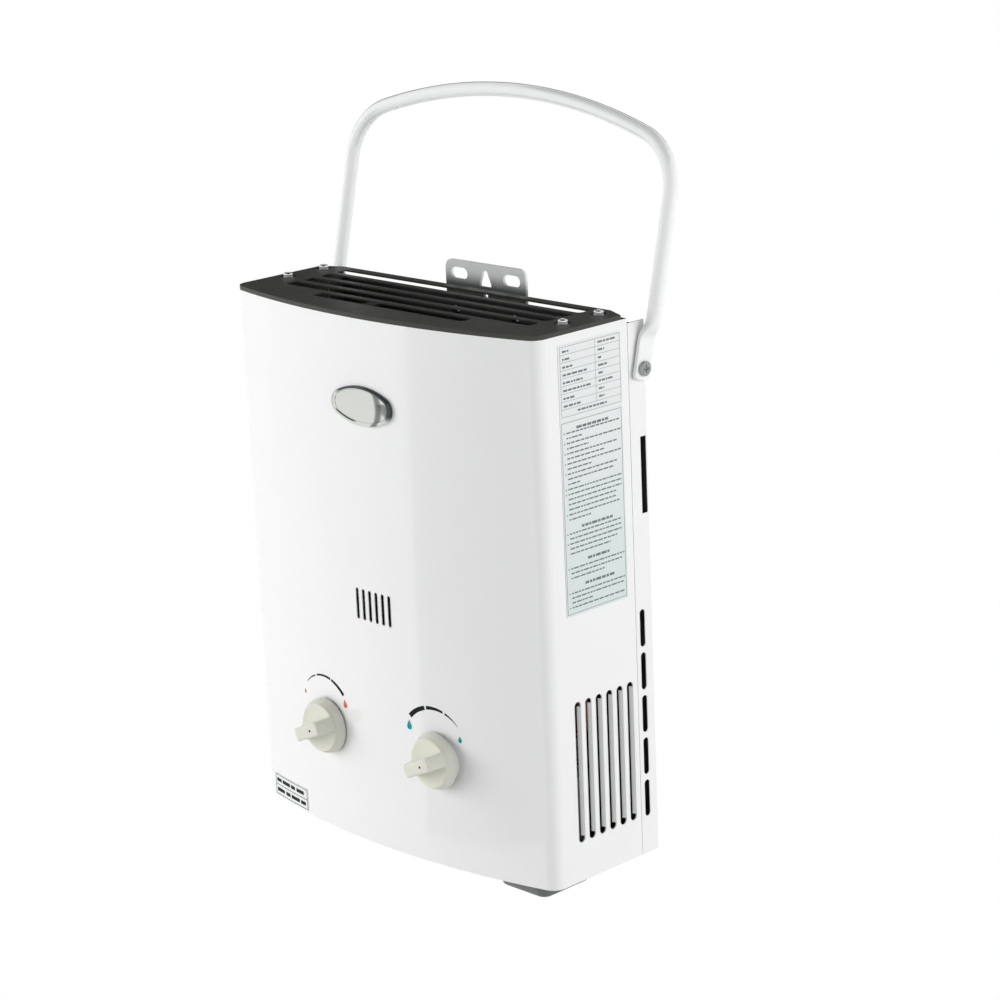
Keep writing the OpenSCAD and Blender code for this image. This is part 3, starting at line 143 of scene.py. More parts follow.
def lathe(profile, turns):
    """A profile (r, h) turned about Z: (r cos t, r sin t, h), with t over a full turn."""
    profile = np.asarray(profile, float)
    t = full_turn(turns)[:, None]
    r, h = profile[None, :, 0], profile[None, :, 1]
    points = np.stack([r * np.cos(t), r * np.sin(t), h + 0 * t], -1)
    return net(points, wrap_u=True)


def plate(a, b, c, d, rows=2, columns=2):
    """A flat or ruled patch: (1-u)(1-v) a + u(1-v) b + uv c + (1-u)v d."""
    u = np.linspace(0, 1, columns)[:, None, None]
    v = np.linspace(0, 1, rows)[None, :, None]
    a, b, c, d = (np.asarray(p, float) for p in (a, b, c, d))
    return net((1 - u) * (1 - v) * a + u * (1 - v) * b + u * v * c + (1 - u) * v * d)


FORWARD = ((1, 0, 0), (0, 0, 1), (0, -1, 0))
UP = ((1, 0, 0), (0, 1, 0), (0, 0, 1))
DOWN = ((1, 0, 0), (0, -1, 0), (0, 0, -1))
RIGHT = ((0, 1, 0), (0, 0, 1), (1, 0, 0))
LEFT = ((0, -1, 0), (0, 0, 1), (-1, 0, 0))


def moved(patch, at, axes=UP):
    """Carries a shape to a place, its own x, y and z laid along three directions: p A + at."""
    points, quads = patch
    return points @ np.asarray(axes, float) + np.asarray(at, float), quads


def polar(radius, t):
    """Points (r cos t, r sin t)."""
    return np.stack([radius * np.cos(t), radius * np.sin(t)], -1)


def at_height(loop, height):
    """A flat loop carried up: (x, y, h)."""
    return np.column_stack([loop, np.full(len(loop), height)])


def slot_loop(wide, long, count=30):
    """A slot's outline, long in its second direction: two half circles joined by straight sides."""
    end = polar(wide / 2, np.linspace(0, np.pi, count)) + (0, (long - wide) / 2)
    return np.concatenate([end, -end])


def bead(path, out, radius, sides=8):
    """A round bead along a closed path: path + radius (cos a side + sin a out), side square to both."""
    along = np.roll(path, -1, 0) - np.roll(path, 1, 0)
    side = np.cross(along, out)
    side /= np.linalg.norm(side, axis=1)[:, None]
    a = full_turn(sides)[None, :, None]
    ring = path[:, None] + radius * (np.cos(a) * side[:, None] + np.sin(a) * np.asarray(out, float))
    return net(ring, wrap_u=True, wrap_v=True)


def round_box(half_x, half_y, r, count=8):
    """Outline of a rectangle with its corners rounded: corner centres + r (cos t, sin t)."""
    t = np.linspace(0, np.pi / 2, count)
    signs = ((1, 1), (-1, 1), (-1, -1), (1, -1))
    return np.concatenate([np.array(sign) * (half_x - r, half_y - r) + polar(r, t + k * np.pi / 2)
                           for k, sign in enumerate(signs)])


def new_object(name, points, quads):
    """An object in the scene, of these points and faces."""
    mesh = bpy.data.meshes.new(name)
    mesh.from_pydata(points.tolist(), [], quads.tolist())
    made = bpy.data.objects.new(name, mesh)
    bpy.context.scene.collection.objects.link(made)
    return made


def new_piece(name, patches, finish, body, stands_for=(), crease=35.0, outwards=False):
    """Joins patches into one smooth mesh, merges doubles, gives it a finish and hangs it on its body."""
    points, quads, start = [], [], 0
    for p, q in patches:
        points.append(p)
        quads.append(q + start)
        start += len(p)
    piece = new_object(name, placed(np.concatenate(points)), np.concatenate(quads))
    mesh = piece.data
    mesh.validate()
    bm = bmesh.new()
    bm.from_mesh(mesh)
    bmesh.ops.remove_doubles(bm, verts=bm.verts, dist=2e-6)
    bmesh.ops.dissolve_degenerate(bm, edges=bm.edges, dist=1e-6)
    if outwards:
        bmesh.ops.recalc_face_normals(bm, faces=bm.faces)
    bm.to_mesh(mesh)
    bm.free()
    mesh.polygons.foreach_set("use_smooth", np.ones(len(mesh.polygons), bool))
    mesh.set_sharp_from_angle(angle=math.radians(crease))
    mesh.materials.append(FINISHES[finish])
    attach(piece, body)
    if stands_for:
        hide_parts(*stands_for)
    return piece


# ---- Finishes ----


def set_inputs(node, **values):
    """Sets a node's sockets by their names, with an underscore for each space."""
    for socket, value in values.items():
        node.inputs[socket.replace("_", " ")].default_value = value


class Finish:
    """A Principled material whose noise and relief are read from Object coordinates, in metres."""

    def __init__(self, name, colour, rough, metal=0.0, **sockets):
        self.mat = bpy.data.materials.new(name)
        self.mat.use_nodes = True
        self.nodes, self.links = self.mat.node_tree.nodes, self.mat.node_tree.links
        self.shader = self.nodes["Principled BSDF"]
        set_inputs(self.shader, Base_Color=(*colour, 1), Roughness=rough, Metallic=metal, **sockets)
        self.coords = self.nodes.new("ShaderNodeTexCoord").outputs["Object"]
        self.mat.diffuse_color = (*colour, 1)

    def add(self, kind, output, socket, source, **values):
        """The output of a new node that has one socket fed and others set."""
        node = self.nodes.new("ShaderNode" + kind)
        set_inputs(node, **values)
        self.links.new(source, node.inputs[socket])
        return node.outputs[output]

    def stretch(self, x, y, z):
        return self.add("Mapping", "Vector", "Vector", self.coords, Scale=(x, y, z))

    def noise(self, scale, detail=3.0, along=None):
        source = along or self.coords
        return self.add("TexNoise", "Fac", "Vector", source, Scale=scale, Detail=detail, Roughness=0.55)

    def cells(self, scale):
        return self.add("TexVoronoi", "Color", "Vector", self.coords, Scale=scale)

    def part(self, axis):
        return self.add("SeparateXYZ", axis, "Vector", self.coords)

    def band(self, value, low, high, out_low=0.0, out_high=1.0):
        """A smooth step from out_low to out_high as the value passes from low to high."""
        span = self.nodes.new("ShaderNodeMapRange")
        span.interpolation_type = "SMOOTHSTEP"
        set_inputs(span, From_Min=low, From_Max=high, To_Min=out_low, To_Max=out_high)
        self.links.new(value, span.inputs["Value"])
        return span.outputs["Result"]

    def reckon(self, operation, one, two=0.0):
        """One step of arithmetic on sockets or numbers."""
        step = self.nodes.new("ShaderNodeMath")
        step.operation = operation
        for socket, value in zip(step.inputs, (one, two)):
            if isinstance(value, float):
                socket.default_value = value
            else:
                self.links.new(value, socket)
        return step.outputs[0]

    def chain(self, operation, first, *others):
        """The same step of arithmetic over several sockets in a row."""
        for other in others:
            first = self.reckon(operation, first, other)
        return first

    def blend(self, fac, one, two):
        mix = self.nodes.new("ShaderNodeMix")
        mix.data_type = "RGBA"
        sockets = [s for s in mix.inputs if s.type == "RGBA"]
        self.links.new(fac, mix.inputs[0])
        for socket, value in zip(sockets, (one, two)):
            if isinstance(value, tuple):
                socket.default_value = (*value, 1)
            else:
                self.links.new(value, socket)
        return [s for s in mix.outputs if s.type == "RGBA"][0]

    def plain(self):
        """The colour that reaches the shader so far."""
        return self.shader.inputs["Base Color"].links[0].from_socket

    def tint(self, colour):
        self.links.new(colour, self.shader.inputs["Base Color"])
        return self

    def sheen(self, value):
        self.links.new(value, self.shader.inputs["Roughness"])
        return self

    def relief(self, height, depth):
        normal = self.add("Bump", "Normal", "Height", height, Strength=1.0, Distance=depth)
        self.links.new(normal, self.shader.inputs["Normal"])
        return self


def shade(colour, factor):
    return tuple(min(1.0, c * factor) for c in colour)


def mottled(name, colour, rough, low, scale, spread, grain, depth, metal=0.0, **sockets):
    """A finish with slow colour drift, uneven gloss and a fine surface texture."""
    f = Finish(name, colour, rough, metal, **sockets)
    f.tint(f.blend(f.band(f.noise(scale), 0.3, 0.7), shade(colour, low), tuple(colour)))
    f.sheen(f.band(f.noise(scale * 3), 0.25, 0.75, rough - spread / 2, rough + spread / 2))
    return f.relief(f.noise(grain, 2.0), depth)


def enamel_paint(name, colour):
    """Glossy white paint under a clear coat."""
    return mottled(name, colour, 0.16, 0.985, 6.0, 0.04, 520.0, 6e-6, Coat_Weight=1.0, Coat_Roughness=0.03)


def case_enamel_shaded_inside(colour):
    """White enamel outside and painted shade, a near-black colour, on the inner faces, which the slots show.

    Inside is above z = 4 and in front of y = -2.5, with |x| < 144.3 behind the rounded corners at y = -90, or
    |x| < 134 and less than R - 0.5 from the centre of the front's arc, or less than 9.75 from the centre of
    a corner. The cover's sides stay white up to z = 130, where the louvres show their sloping blades.
    """
    wall_x, front_x, skin = 144.3, 134.0, 0.5
    corner_y, louvre_y, rear_y = -90.0, -18.0, -2.5
    foot_z, louvre_z = 4.0, 130.0
    f = enamel_paint("case_enamel_shaded_inside", colour)
    x, y, z = f.reckon("ABSOLUTE", f.part("X")), f.part("Y"), f.part("Z")

    def under(value, limit):
        return f.reckon("LESS_THAN", value, limit * MM)

    def over(value, limit):
        return f.reckon("GREATER_THAN", value, limit * MM)

    def within_circle(centre_x, centre_y, radius):
        across = f.reckon("SUBTRACT", x, centre_x * MM)
        depth = f.reckon("SUBTRACT", y, centre_y * MM)
        square = f.reckon("ADD", f.reckon("MULTIPLY", across, across), f.reckon("MULTIPLY", depth, depth))
        return f.reckon("LESS_THAN", square, (radius * MM) ** 2)

    edge = EDGE_Z / MM
    no_louvre = f.reckon("MAXIMUM", over(y, louvre_y), over(z, edge + louvre_z))
    walls = f.chain("MULTIPLY", under(x, wall_x), over(y, corner_y), no_louvre)
    front = f.reckon("MULTIPLY", under(x, front_x), within_circle(0.0, ARC_Y, ARC_R - skin))
    corner_x, middle_r = HALF_W - CORNER_R, ARC_R - CORNER_R
    corner = within_circle(corner_x, ARC_Y - math.sqrt(middle_r**2 - corner_x**2), CORNER_R - skin)
    inner = f.chain("MAXIMUM", walls, front, corner)
    inside = f.chain("MULTIPLY", inner, under(y, rear_y), over(z, edge + foot_z))
    # Painted shade: the inner faces get near-black in place of the shade that falls inside the case.
    return f.tint(f.blend(inside, f.plain(), (0.05, 0.05, 0.052)))


def badge_chrome():
    """Chrome with painted reflection: darker on the upper right of the rim and in a crescent near the right
    end.

    With u and v the place over the oval's half length and half height, the rim is where u^2 + v^2 is
    over 0.78, its dark side where 0.6 u + v is over 0, and the crescent where u is near 0.62 - 0.25 v^2.
    """
    f = mottled("badge_chrome", (0.68, 0.7, 0.66), 0.1, 0.97, 60.0, 0.03, 900.0, 1e-6, 1.0)
    u = f.reckon("MULTIPLY", f.part("X"), 1 / (BADGE_HALF * MM))
    v = f.reckon("MULTIPLY", f.reckon("SUBTRACT", f.part("Z"), EDGE_Z + BADGE_Z * MM), 1 / (BADGE_HIGH * MM))
    v_squared = f.reckon("MULTIPLY", v, v)
    rim = f.band(f.reckon("ADD", f.reckon("MULTIPLY", u, u), v_squared), 0.74, 0.82)
    upper = f.band(f.reckon("ADD", f.reckon("MULTIPLY", u, 0.6), v), -0.1, 0.35)
    off = f.reckon("ADD", f.reckon("SUBTRACT", u, 0.62), f.reckon("MULTIPLY", v_squared, 0.25))
    crescent = f.band(f.reckon("ABSOLUTE", off), 0.04, 0.14, 0.75, 0.0)
    # Painted dark reflection on the rim's upper right and in the crescent near the right end.
    dark = f.reckon("MAXIMUM", f.reckon("MULTIPLY", rim, upper), crescent)
    return f.tint(f.blend(dark, f.plain(), (0.07, 0.08, 0.08)))


def zinc_sheet():
    """Galvanised sheet with a spangle of cells."""
    f = Finish("zinc_sheet", (0.62, 0.64, 0.66), 0.34, 1.0)
    red = f.add("SeparateColor", "Red", "Color", f.cells(140.0))
    f.tint(f.blend(red, (0.5, 0.52, 0.54), (0.7, 0.72, 0.74)))
    f.sheen(f.band(red.node.outputs["Green"], 0.0, 1.0, 0.26, 0.42))
    return f.relief(f.noise(700.0), 6e-6)


def bracket_sheet():
    """Bracket metal with painted light and shade, dark at its foot and light above, with a faint grain
    across.
    """
    f = Finish("bracket_sheet", (0.6, 0.61, 0.62), 0.42, 0.4)
    # Painted shade: the colour darkens towards the bracket's foot and lightens above.
    f.tint(f.blend(f.band(f.part("Z"), -0.009, 0.004), (0.16, 0.165, 0.165), (0.86, 0.87, 0.87)))
    f.sheen(f.band(f.noise(30.0, along=f.stretch(1, 1, 12)), 0.3, 0.7, 0.36, 0.48))
    return f.relief(f.noise(400.0, along=f.stretch(1, 1, 14)), 8e-6)


def label_film(top, bottom):
    """Film of the side labels, whose colour runs from one to the other down the side."""
    f = Finish("label_film", top, 0.32, 0.0, Coat_Weight=0.4, Coat_Roughness=0.15)
    f.tint(f.blend(f.band(f.part("Z"), -0.19, -0.02), tuple(bottom), tuple(top)))
    f.sheen(f.band(f.noise(40.0), 0.3, 0.7, 0.28, 0.36))
    return f.relief(f.noise(900.0), 3e-6)


def make_finishes(c):
    """Every finish by its name: those of the record's slots, and those of single pieces and inks."""
    # colour, roughness, darkest shade, drift scale, gloss spread, grain scale, grain depth in m, metal
    rows = {
        "grille_paint": (c.grille, 0.46, 0.86, 40.0, 0.1, 1500.0, 1.2e-5),
        "chrome": ((0.78, 0.79, 0.79), 0.07, 0.97, 60.0, 0.03, 900.0, 1e-6, 1.0),
        "steel": ((0.6, 0.6, 0.6), 0.26, 0.9, 90.0, 0.08, 900.0, 4e-6, 1.0),
        "bright_steel": ((0.74, 0.75, 0.75), 0.14, 0.95, 120.0, 0.04, 900.0, 2e-6, 1.0),
        # Darkened as painted reflection and shadow: the pivot screws show dark reflections and a dark ring
        # round their heads.
        "dark_steel": ((0.36, 0.365, 0.37), 0.2, 0.85, 120.0, 0.05, 900.0, 3e-6, 1.0),
        "brass": ((0.72, 0.5, 0.22), 0.3, 0.78, 120.0, 0.12, 1200.0, 8e-6, 1.0),
        "alloy": ((0.52, 0.53, 0.54), 0.46, 0.86, 80.0, 0.1, 1400.0, 3e-5, 1.0),
        "copper": ((0.78, 0.37, 0.22), 0.28, 0.72, 30.0, 0.12, 900.0, 6e-6, 1.0),
        "black_plastic": ((0.022, 0.022, 0.024), 0.42, 0.7, 60.0, 0.08, 2400.0, 1e-5),
        "grey_plastic": (c.lid, 0.46, 0.93, 50.0, 0.08, 2400.0, 1e-5),
        "rubber": ((0.02, 0.02, 0.02), 0.7, 0.8, 60.0, 0.08, 1200.0, 2e-5),
        "ceramic": ((0.78, 0.75, 0.68), 0.3, 0.95, 60.0, 0.08, 1200.0, 4e-6),
        "lead_red": ((0.45, 0.04, 0.03), 0.45, 0.85, 90.0, 0.06, 1500.0, 4e-6),
        "lead_black": ((0.025, 0.025, 0.027), 0.45, 0.8, 90.0, 0.06, 1500.0, 4e-6),
        "cell_wrap": ((0.5, 0.33, 0.1), 0.3, 0.9, 60.0, 0.06, 900.0, 2e-6, 0.4),
        # Near black, which is painted shade: it keeps the interior seen through the grille's slots dark.
        "painted_shade_sheet": ((0.045, 0.045, 0.047), 0.5, 0.7, 60.0, 0.1, 900.0, 8e-6, 0.3),
        "word_ink": (c.words, 0.45, 0.85, 260.0, 0.05, 1500.0, 1e-6),
        "rule_ink": (c.rule, 0.45, 0.85, 200.0, 0.05, 1500.0, 1e-6),
    }
    names = {"alloy": "cast_alloy", "copper": "copper_tube", "lead_red": "red_lead",
             "lead_black": "black_lead"}
    made = {slot: mottled(names.get(slot, slot), *row) for slot, row in rows.items()}
    made["handle_white"] = mottled("handle_coat", c.handle, 0.14, 0.985, 20.0, 0.04, 400.0, 4e-6,
                                   Coat_Weight=1.0, Coat_Roughness=0.05, IOR=1.6)
    made["ivory_plastic"] = mottled("ivory_plastic", c.ivory, 0.4, 0.975, 60.0, 0.06, 2600.0, 6e-6,
                                    Subsurface_Weight=0.12, Subsurface_Scale=0.003)
    made["mica"] = mottled("mica", (0.75, 0.68, 0.5), 0.14, 0.85, 90.0, 0.05, 900.0, 2e-6, Alpha=0.55)
    made["sticker_film"] = mottled("sticker_film", (0.84, 0.85, 0.85), 0.34, 0.97, 60.0, 0.05, 900.0, 3e-6,
                                   Coat_Weight=0.3)
    for name, colour in (("ink", c.ink), ("teal_ink", c.drop), ("coral_ink", c.flame)):
        made[name] = mottled(name, colour, 0.5, 0.85, 300.0, 0.05, 1500.0, 1e-6, Specular_IOR_Level=0.15)
    made["white_paint"] = enamel_paint("white_enamel", c.enamel)
    made["case_enamel_shaded_inside"] = case_enamel_shaded_inside(c.enamel)
    made["badge_chrome"] = badge_chrome()
    made["zinc_sheet"] = zinc_sheet()
    made["bracket_sheet"] = bracket_sheet()
    made["label_film"] = label_film(c.film, c.film_low)
    return {name: f.mat for name, f in made.items()}


# ---- Properties ----


def swatch(name, description, default):
    """A colour for the sidebar."""
    return FloatVectorProperty(name=name, description=description, default=default, subtype="COLOR", size=3,
                               min=0, max=1)


class HeaterColours(PropertyGroup):
    """Colours of the heater's finishes."""

    enamel: swatch("Enamel", "Paint of the case", (0.905, 0.91, 0.905))
    grille: swatch("Grille", "Satin paint of the top grille", (0.036, 0.039, 0.031))
    handle: swatch("Handle", "Coat of the carry handle", (0.92, 0.925, 0.93))
    ivory: swatch("Knobs", "Ivory plastic of the knobs", (0.78, 0.78, 0.69))
    lid: swatch("Battery lid", "Grey plastic of the lid", (0.13, 0.135, 0.135))
    film: swatch("Label, upper", "Film of the side labels at the top", (0.82, 0.84, 0.84))
    film_low: swatch("Label, lower", "Film of the side labels at the bottom", (0.69, 0.77, 0.76))
    ink: swatch("Dial ink", "Black of the dial arcs", (0.008, 0.009, 0.014))
    drop: swatch("Drop ink", "Teal of the water drops", (0.0, 0.36, 0.38))
    flame: swatch("Flame ink", "Coral of the flames", (0.72, 0.2, 0.15))
    rule: swatch("Rule ink", "Grey of the ruled lines", (0.3, 0.34, 0.34))
    words: swatch("Word ink", "Grey of the bars in place of words", (0.16, 0.19, 0.19))


class HeaterSizes(PropertyGroup):
    """Sizes of the skins, in millimetres unless a unit says otherwise."""

    rod: FloatProperty(name="Handle rod", description="Diameter of the rod", default=9.96, min=8, max=11)
    lean: FloatProperty(name="Handle lean", description="Backward lean of the handle at rest",
                        default=math.radians(13.5), subtype="ANGLE")
    badge_half: FloatProperty(name="Badge half length", description="Half the length of the oval badge",
                              default=BADGE_HALF, min=20, max=32)
    badge_high: FloatProperty(name="Badge half height", description="Half the height of the oval badge",
                              default=BADGE_HIGH, min=10, max=16)
    lamp: FloatProperty(name="Lamp level", description="Watts of the left lamp", default=34, min=1, max=200)


# ---- Pieces ----


def oval(a, b, end_r, inset, count=160):
    """Four-arc oval moved in by inset: centre + (r - inset) n, with n the normal at angle t.

    The long sides have radius R = ((a-e)^2 + b^2 - e^2) / (2 (b-e)), the ends radius e.
    """
    big_r = ((a - end_r) ** 2 + b * b - end_r**2) / (2 * (b - end_r))
    t = full_turn(count)
    n = polar(1, t)
    split = (a - end_r) / (big_r - end_r)
    long_side = np.abs(n[:, 0]) < split
    centre = np.where(
        long_side[:, None],
        np.stack([0 * t, -np.sign(n[:, 1]) * (big_r - b)], -1),
        np.stack([np.sign(n[:, 0]) * (a - end_r), 0 * t], -1),
    )
    r = np.where(long_side, big_r, end_r)[:, None]
    return centre + (r - inset) * n


class HEATER_OT_badge(Operator):
    """Oval chrome badge: a rounded rim, a groove and a plain plate with a dome 1.45 (1 - k^2) high"""

    bl_idname = "heater.badge"
    bl_label = "Badge"

    def execute(self, context):
        s = context.scene.heater_sizes
        end_r, dome = 9.0, 1.45
        rim = ((0, -2), (0, 1.5), (0.15, 2.0), (0.6, 2.4), (1.2, 2.5), (1.8, 2.35), (2.25, 1.9), (2.5, 1.4),
               (2.75, 1.25), (3.0, 1.35))
        rings = [at_height(oval(s.badge_half, s.badge_high, end_r, inset), height) for inset, height in rim]
        inset, height = rim[-1]
        edge = oval(s.badge_half, s.badge_high, end_r, inset)
        rings += [at_height(edge * k, height + dome * (1 - k * k)) for k in np.linspace(0.96, 0.0, 14)]
        badge = moved(net(np.stack(rings, 1), wrap_u=True), (0, FRONT_Y, BADGE_Z), FORWARD)
        new_piece("badge_plate", [badge], "badge_chrome", "case", ("badge",))
        return {"FINISHED"}


def handle_line():
    """Half of the handle's centreline as (x, s), s up from the pivot.

    A straight end at the tab, a smooth step out to the leg, the leg, a bend of 40 about
    (111.6, s_c), and a grip arc of 410 about (0, 169 - 410).
    """
    tab_x, leg_x, bend, grip, reach = 147.3, 151.6, 40.0, 410.0, 169.0
    cx, base = leg_x - bend, reach - grip
    cs = base + math.sqrt((grip - bend) ** 2 - cx**2)
    grip_turn = math.asin(cx / (grip - bend))
    s0 = np.array([-7.5, -7.35, -6.6, -5.6, -4.5, 0.0, 6.0, 12.0, 17.0])
    tab = np.stack([np.full(len(s0), tab_x), s0], -1)
    s1 = np.linspace(19, 38, 14)
    w = np.clip((s1 - 19) / 12, 0, 1)
    step = np.stack([tab_x + (leg_x - tab_x) * w * w * (3 - 2 * w), s1], -1)
    s2 = np.linspace(44, cs, 10)
    leg = np.stack([np.full(len(s2), leg_x), s2], -1)
    t = np.linspace(0, np.pi / 2 - grip_turn, 16)[1:]
    corner = polar(bend, t) + (cx, cs)
    g = np.linspace(grip_turn, 0, 30)[1:]
    arc = np.stack([grip * np.sin(g), base + grip * np.cos(g)], -1)
    return np.concatenate([tab, step, leg, corner, arc])


class HEATER_OT_handle(Operator):
    """Carry handle: a round rod bent to a bowed grip, with flattened, joggled ends.

    Section: (thick cos^p t, wide sin^p t), a circle above s = 36 and a soft bar with p = 0.28 below s = 17.
    """

    bl_idname = "heater.handle"
    bl_label = "Handle"

    def execute(self, context):
        rod, lean = context.scene.heater_sizes.rod, context.scene.heater_sizes.lean
        half = handle_line()
        line = np.concatenate([half, (half * [-1, 1])[-2::-1]])
        along = np.gradient(line, axis=0)
        along /= np.linalg.norm(along, axis=1)[:, None]
        side = np.stack([along[:, 1], -along[:, 0]], -1)
        round_half, flat_thick, flat_wide, tip, flat_to, round_from = 5.0, 1.5, 7.0, 3.0, 17, 36
        height = line[:, 1]
        flat = 1 - np.clip((height - flat_to) / (round_from - flat_to), 0, 1)
        flat = flat * flat * (3 - 2 * flat)
        thick = round_half + (flat_thick - round_half) * flat
        wide = round_half + (flat_wide - round_half) * flat
        drop = np.clip((-4.5 - height) / tip, 0, 1)
        wide = wide - tip * (1 - np.sqrt(1 - drop**2))
        power = 1 - 0.72 * flat
        t = full_turn(32)
        c, d = np.cos(t), np.sin(t)
        u = np.sign(c) * np.abs(c) ** power[:, None] * (thick * rod / 10)[:, None]
        v = np.sign(d) * np.abs(d) ** power[:, None] * (wide * rod / 10)[:, None]
        x = line[:, None, 0] + u * side[:, None, 0]
        z = line[:, None, 1] + u * side[:, None, 1]
        ring = np.stack([x, v, z], -1)
        cap_a, cap_b = ring[:1].mean(1, keepdims=True), ring[-1:].mean(1, keepdims=True)
        ring = np.concatenate([cap_a + 0 * ring[:1], ring, cap_b + 0 * ring[-1:]])
        y, z = ring[..., 1], ring[..., 2]
        turned = np.stack(
            [ring[..., 0], y * math.cos(lean) + z * math.sin(lean) + PIVOT_Y,
             z * math.cos(lean) - y * math.sin(lean) + PIVOT_Z], -1)
        new_piece("handle_rod", [net(turned, wrap_v=True)], "handle_white", "carry_handle",
                  ("handle",), crease=50, outwards=True)
        return {"FINISHED"}


def cone_radius(h):
    """Radius of the knob's outside at height h: 19.5 for the first 3, then down by 7 over 17."""
    return 19.5 - 7.0 * np.clip(np.asarray(h, float) - 3.0, 0, None) / 17.0


def bar_outline(r, half, corner):
    """Plan of the grip bar: two parallel sides, ends on a circle of radius r, corner arcs tangent to both."""
    cu, cw = np.sqrt((r - corner) ** 2 - (half - corner) ** 2), half - corner
    t1 = np.arctan2(cw, cu)
    a = polar(r, np.linspace(0, t1, 6))
    b = polar(corner, np.linspace(t1, np.pi / 2, 8)[1:]) + (cu, cw)
    run = np.linspace(cu, 0, 9)[1:]
    c = np.stack([run, np.full(len(run), half)], -1)
    quarter = np.concatenate([a, b, c])
    upper = np.concatenate([quarter, (quarter * [-1, 1])[-2::-1]])
    return np.concatenate([upper, (upper * [1, -1])[-2:0:-1]])


def knob_shape(x, z, angle, floor=8.0, high=19.75, half=4.75):
    """A low dished disc turned about its axis, and a bar whose plan shrinks with the cone as it rises.

    Disc: r = cone(h) up to a rim round of 1.3, then h = floor - 0.9 (1 - (r/R)^4).
    Bar: outlines at cone(h), flared at the foot by 1.8 (1 - (h-6.8)/3.4)^2 and rounded at the top by 1.3.
    """
    rim, soft = float(cone_radius(floor)), 1.3
    a = np.linspace(0, np.pi / 2, 8)
    wall = [(19.2, 0.0), (19.5, 0.25), (19.5, 1.5), (19.5, 2.9), (19.3, 3.4), (float(cone_radius(5.5)), 5.5)]
    edge = [(rim - soft + soft * np.cos(t), floor - soft + soft * np.sin(t)) for t in a]
    r = np.linspace(rim - soft, 0, 14)[1:]
    face = np.stack([r, floor - 0.9 * (1 - (r / (rim - soft)) ** 4)], -1)
    disc = lathe([*wall, *edge, *face], 96)
    h = np.concatenate([[5.6, 6.4], np.linspace(6.9, 10.2, 7), [12.5, 15, 17.2],
                        high - soft + soft * np.sin(a)])
    inset = np.concatenate([np.zeros(12), soft * (1 - np.cos(a))])
    flare = 1.8 * np.clip(1 - (h - 6.8) / 3.4, 0, 1) ** 2
    sunk = np.where(h < 7.2, 7.2 - h, 0.03)
    rows = [bar_outline(cone_radius(k) - i - d, half - i + f, max(1.5 - i, 0.3))
            for k, i, f, d in zip(h, inset, flare, sunk)]
    rings = [at_height(row, k) for row, k in zip(rows, h)]
    rings += [at_height(rows[-1] * k, high + 0.25 * (1 - k)) for k in (0.8, 0.55, 0.3, 0.0)]
    bar = net(np.stack(rings, 1), wrap_u=True)
    dot = moved(lathe([(0.95, 0.02), (0.9, 0.16), (0.5, 0.18), (0, 0.18)], 20), (4.7, 0, high))
    c, s = math.cos(angle), math.sin(angle)
    spin = ((c, s, 0), (-s, c, 0), (0, 0, 1))
    return [moved(moved(q, (0, 0, 0), spin), (x, KNOB_BACK, z), FORWARD) for q in (disc, bar, dot)]


class HEATER_OT_knobs(Operator):
    """Two ivory knobs: a dished disc, a grip bar with soft edges and a dark pointer dot"""

    bl_idname = "heater.knobs"
    bl_label = "Knobs"

    def execute(self, context):
        for name, body, x in (("gas", "gas_control", -55.0), ("water", "water_control", 55.0)):
            disc, bar, dot = knob_shape(x, 76.0, math.radians(24))
            new_piece(name + "_knob_skin", [disc, bar], "ivory_plastic", body,
                      (name + "_knob",), crease=50)
            new_piece(name + "_pointer", [dot], "ink", body, crease=50)
        return {"FINISHED"}


def on_front(flat, proud, **wrap):
    """A flat grid of (x, z) laid on the bowed front: (x, front(x), z)."""
    return net(np.stack([flat[..., 0], front_at(flat[..., 0], proud), flat[..., 1]], -1), **wrap)


def printed_strip(x, z, width, proud=0.07):
    """A band of ink on the bowed front: the centreline (x, z) moved by +-width/2 along its normal."""
    x, z, width = (np.asarray(q, float) for q in (x, z, width))
    tangent = np.gradient(np.stack([x, z], -1), axis=0)
    tangent /= np.linalg.norm(tangent, axis=1)[:, None]
    across = np.stack([-tangent[:, 1], tangent[:, 0]], -1)[:, None, :]
    offset = np.linspace(0.5, -0.5, 4)[None, :, None] * width[:, None, None]
    return on_front(np.stack([x, z], -1)[:, None, :] + across * offset, proud)


def printed_blot(outline, centre, proud=0.07):
    """A filled outline on the bowed front: centre + k (outline - centre), with k from 1 to 0."""
    k = np.linspace(1, 0, 5)[None, :, None]
    return on_front(np.asarray(centre) + k * (outline[:, None, :] - centre), proud, wrap_u=True)


def drop_outline(x, z, width, height, count=40):
    """A water drop, round below and pointed above: (0.62 w sin t sin^1.5(t/2), h/2 cos t)."""
    t = full_turn(count)
    r = np.abs(np.sin(t / 2)) ** 1.5
    return np.stack([x + width * 0.62 * np.sin(t) * r, z + height / 2 * np.cos(t)], -1)


def flame_outline(x, z, width, height, count=48):
    """A flame: (0.6 w sin t sin^1.3(t/2), h/2 cos t) with its tip bent and its right shoulder notched."""
    t = full_turn(count)
    r = np.abs(np.sin(t / 2)) ** 1.3
    up = (np.cos(t) + 1) / 2
    notch = 1 - 0.45 * np.exp(-(((t - 1.15) / 0.28) ** 2))
    bend = -0.34 * width * up**2 + 0.25 * width * up
    across = width * 0.6 * np.sin(t) * r * notch + bend
    return np.stack([x + across, z + height / 2 * np.cos(t) * (0.9 + 0.1 * notch)], -1)


def dial_arc(x0, z0, radius, angles, widths):
    """Arcs of ink between pairs of angles, in degrees, each with its width from one end to the other."""
    strips = []
    for (start, end), (w0, w1) in zip(angles, widths):
        line = polar(radius, np.radians(np.linspace(start, end, 26))) + (x0, z0)
        strips.append(printed_strip(*line.T, np.linspace(w0, w1, 26)))
    return strips


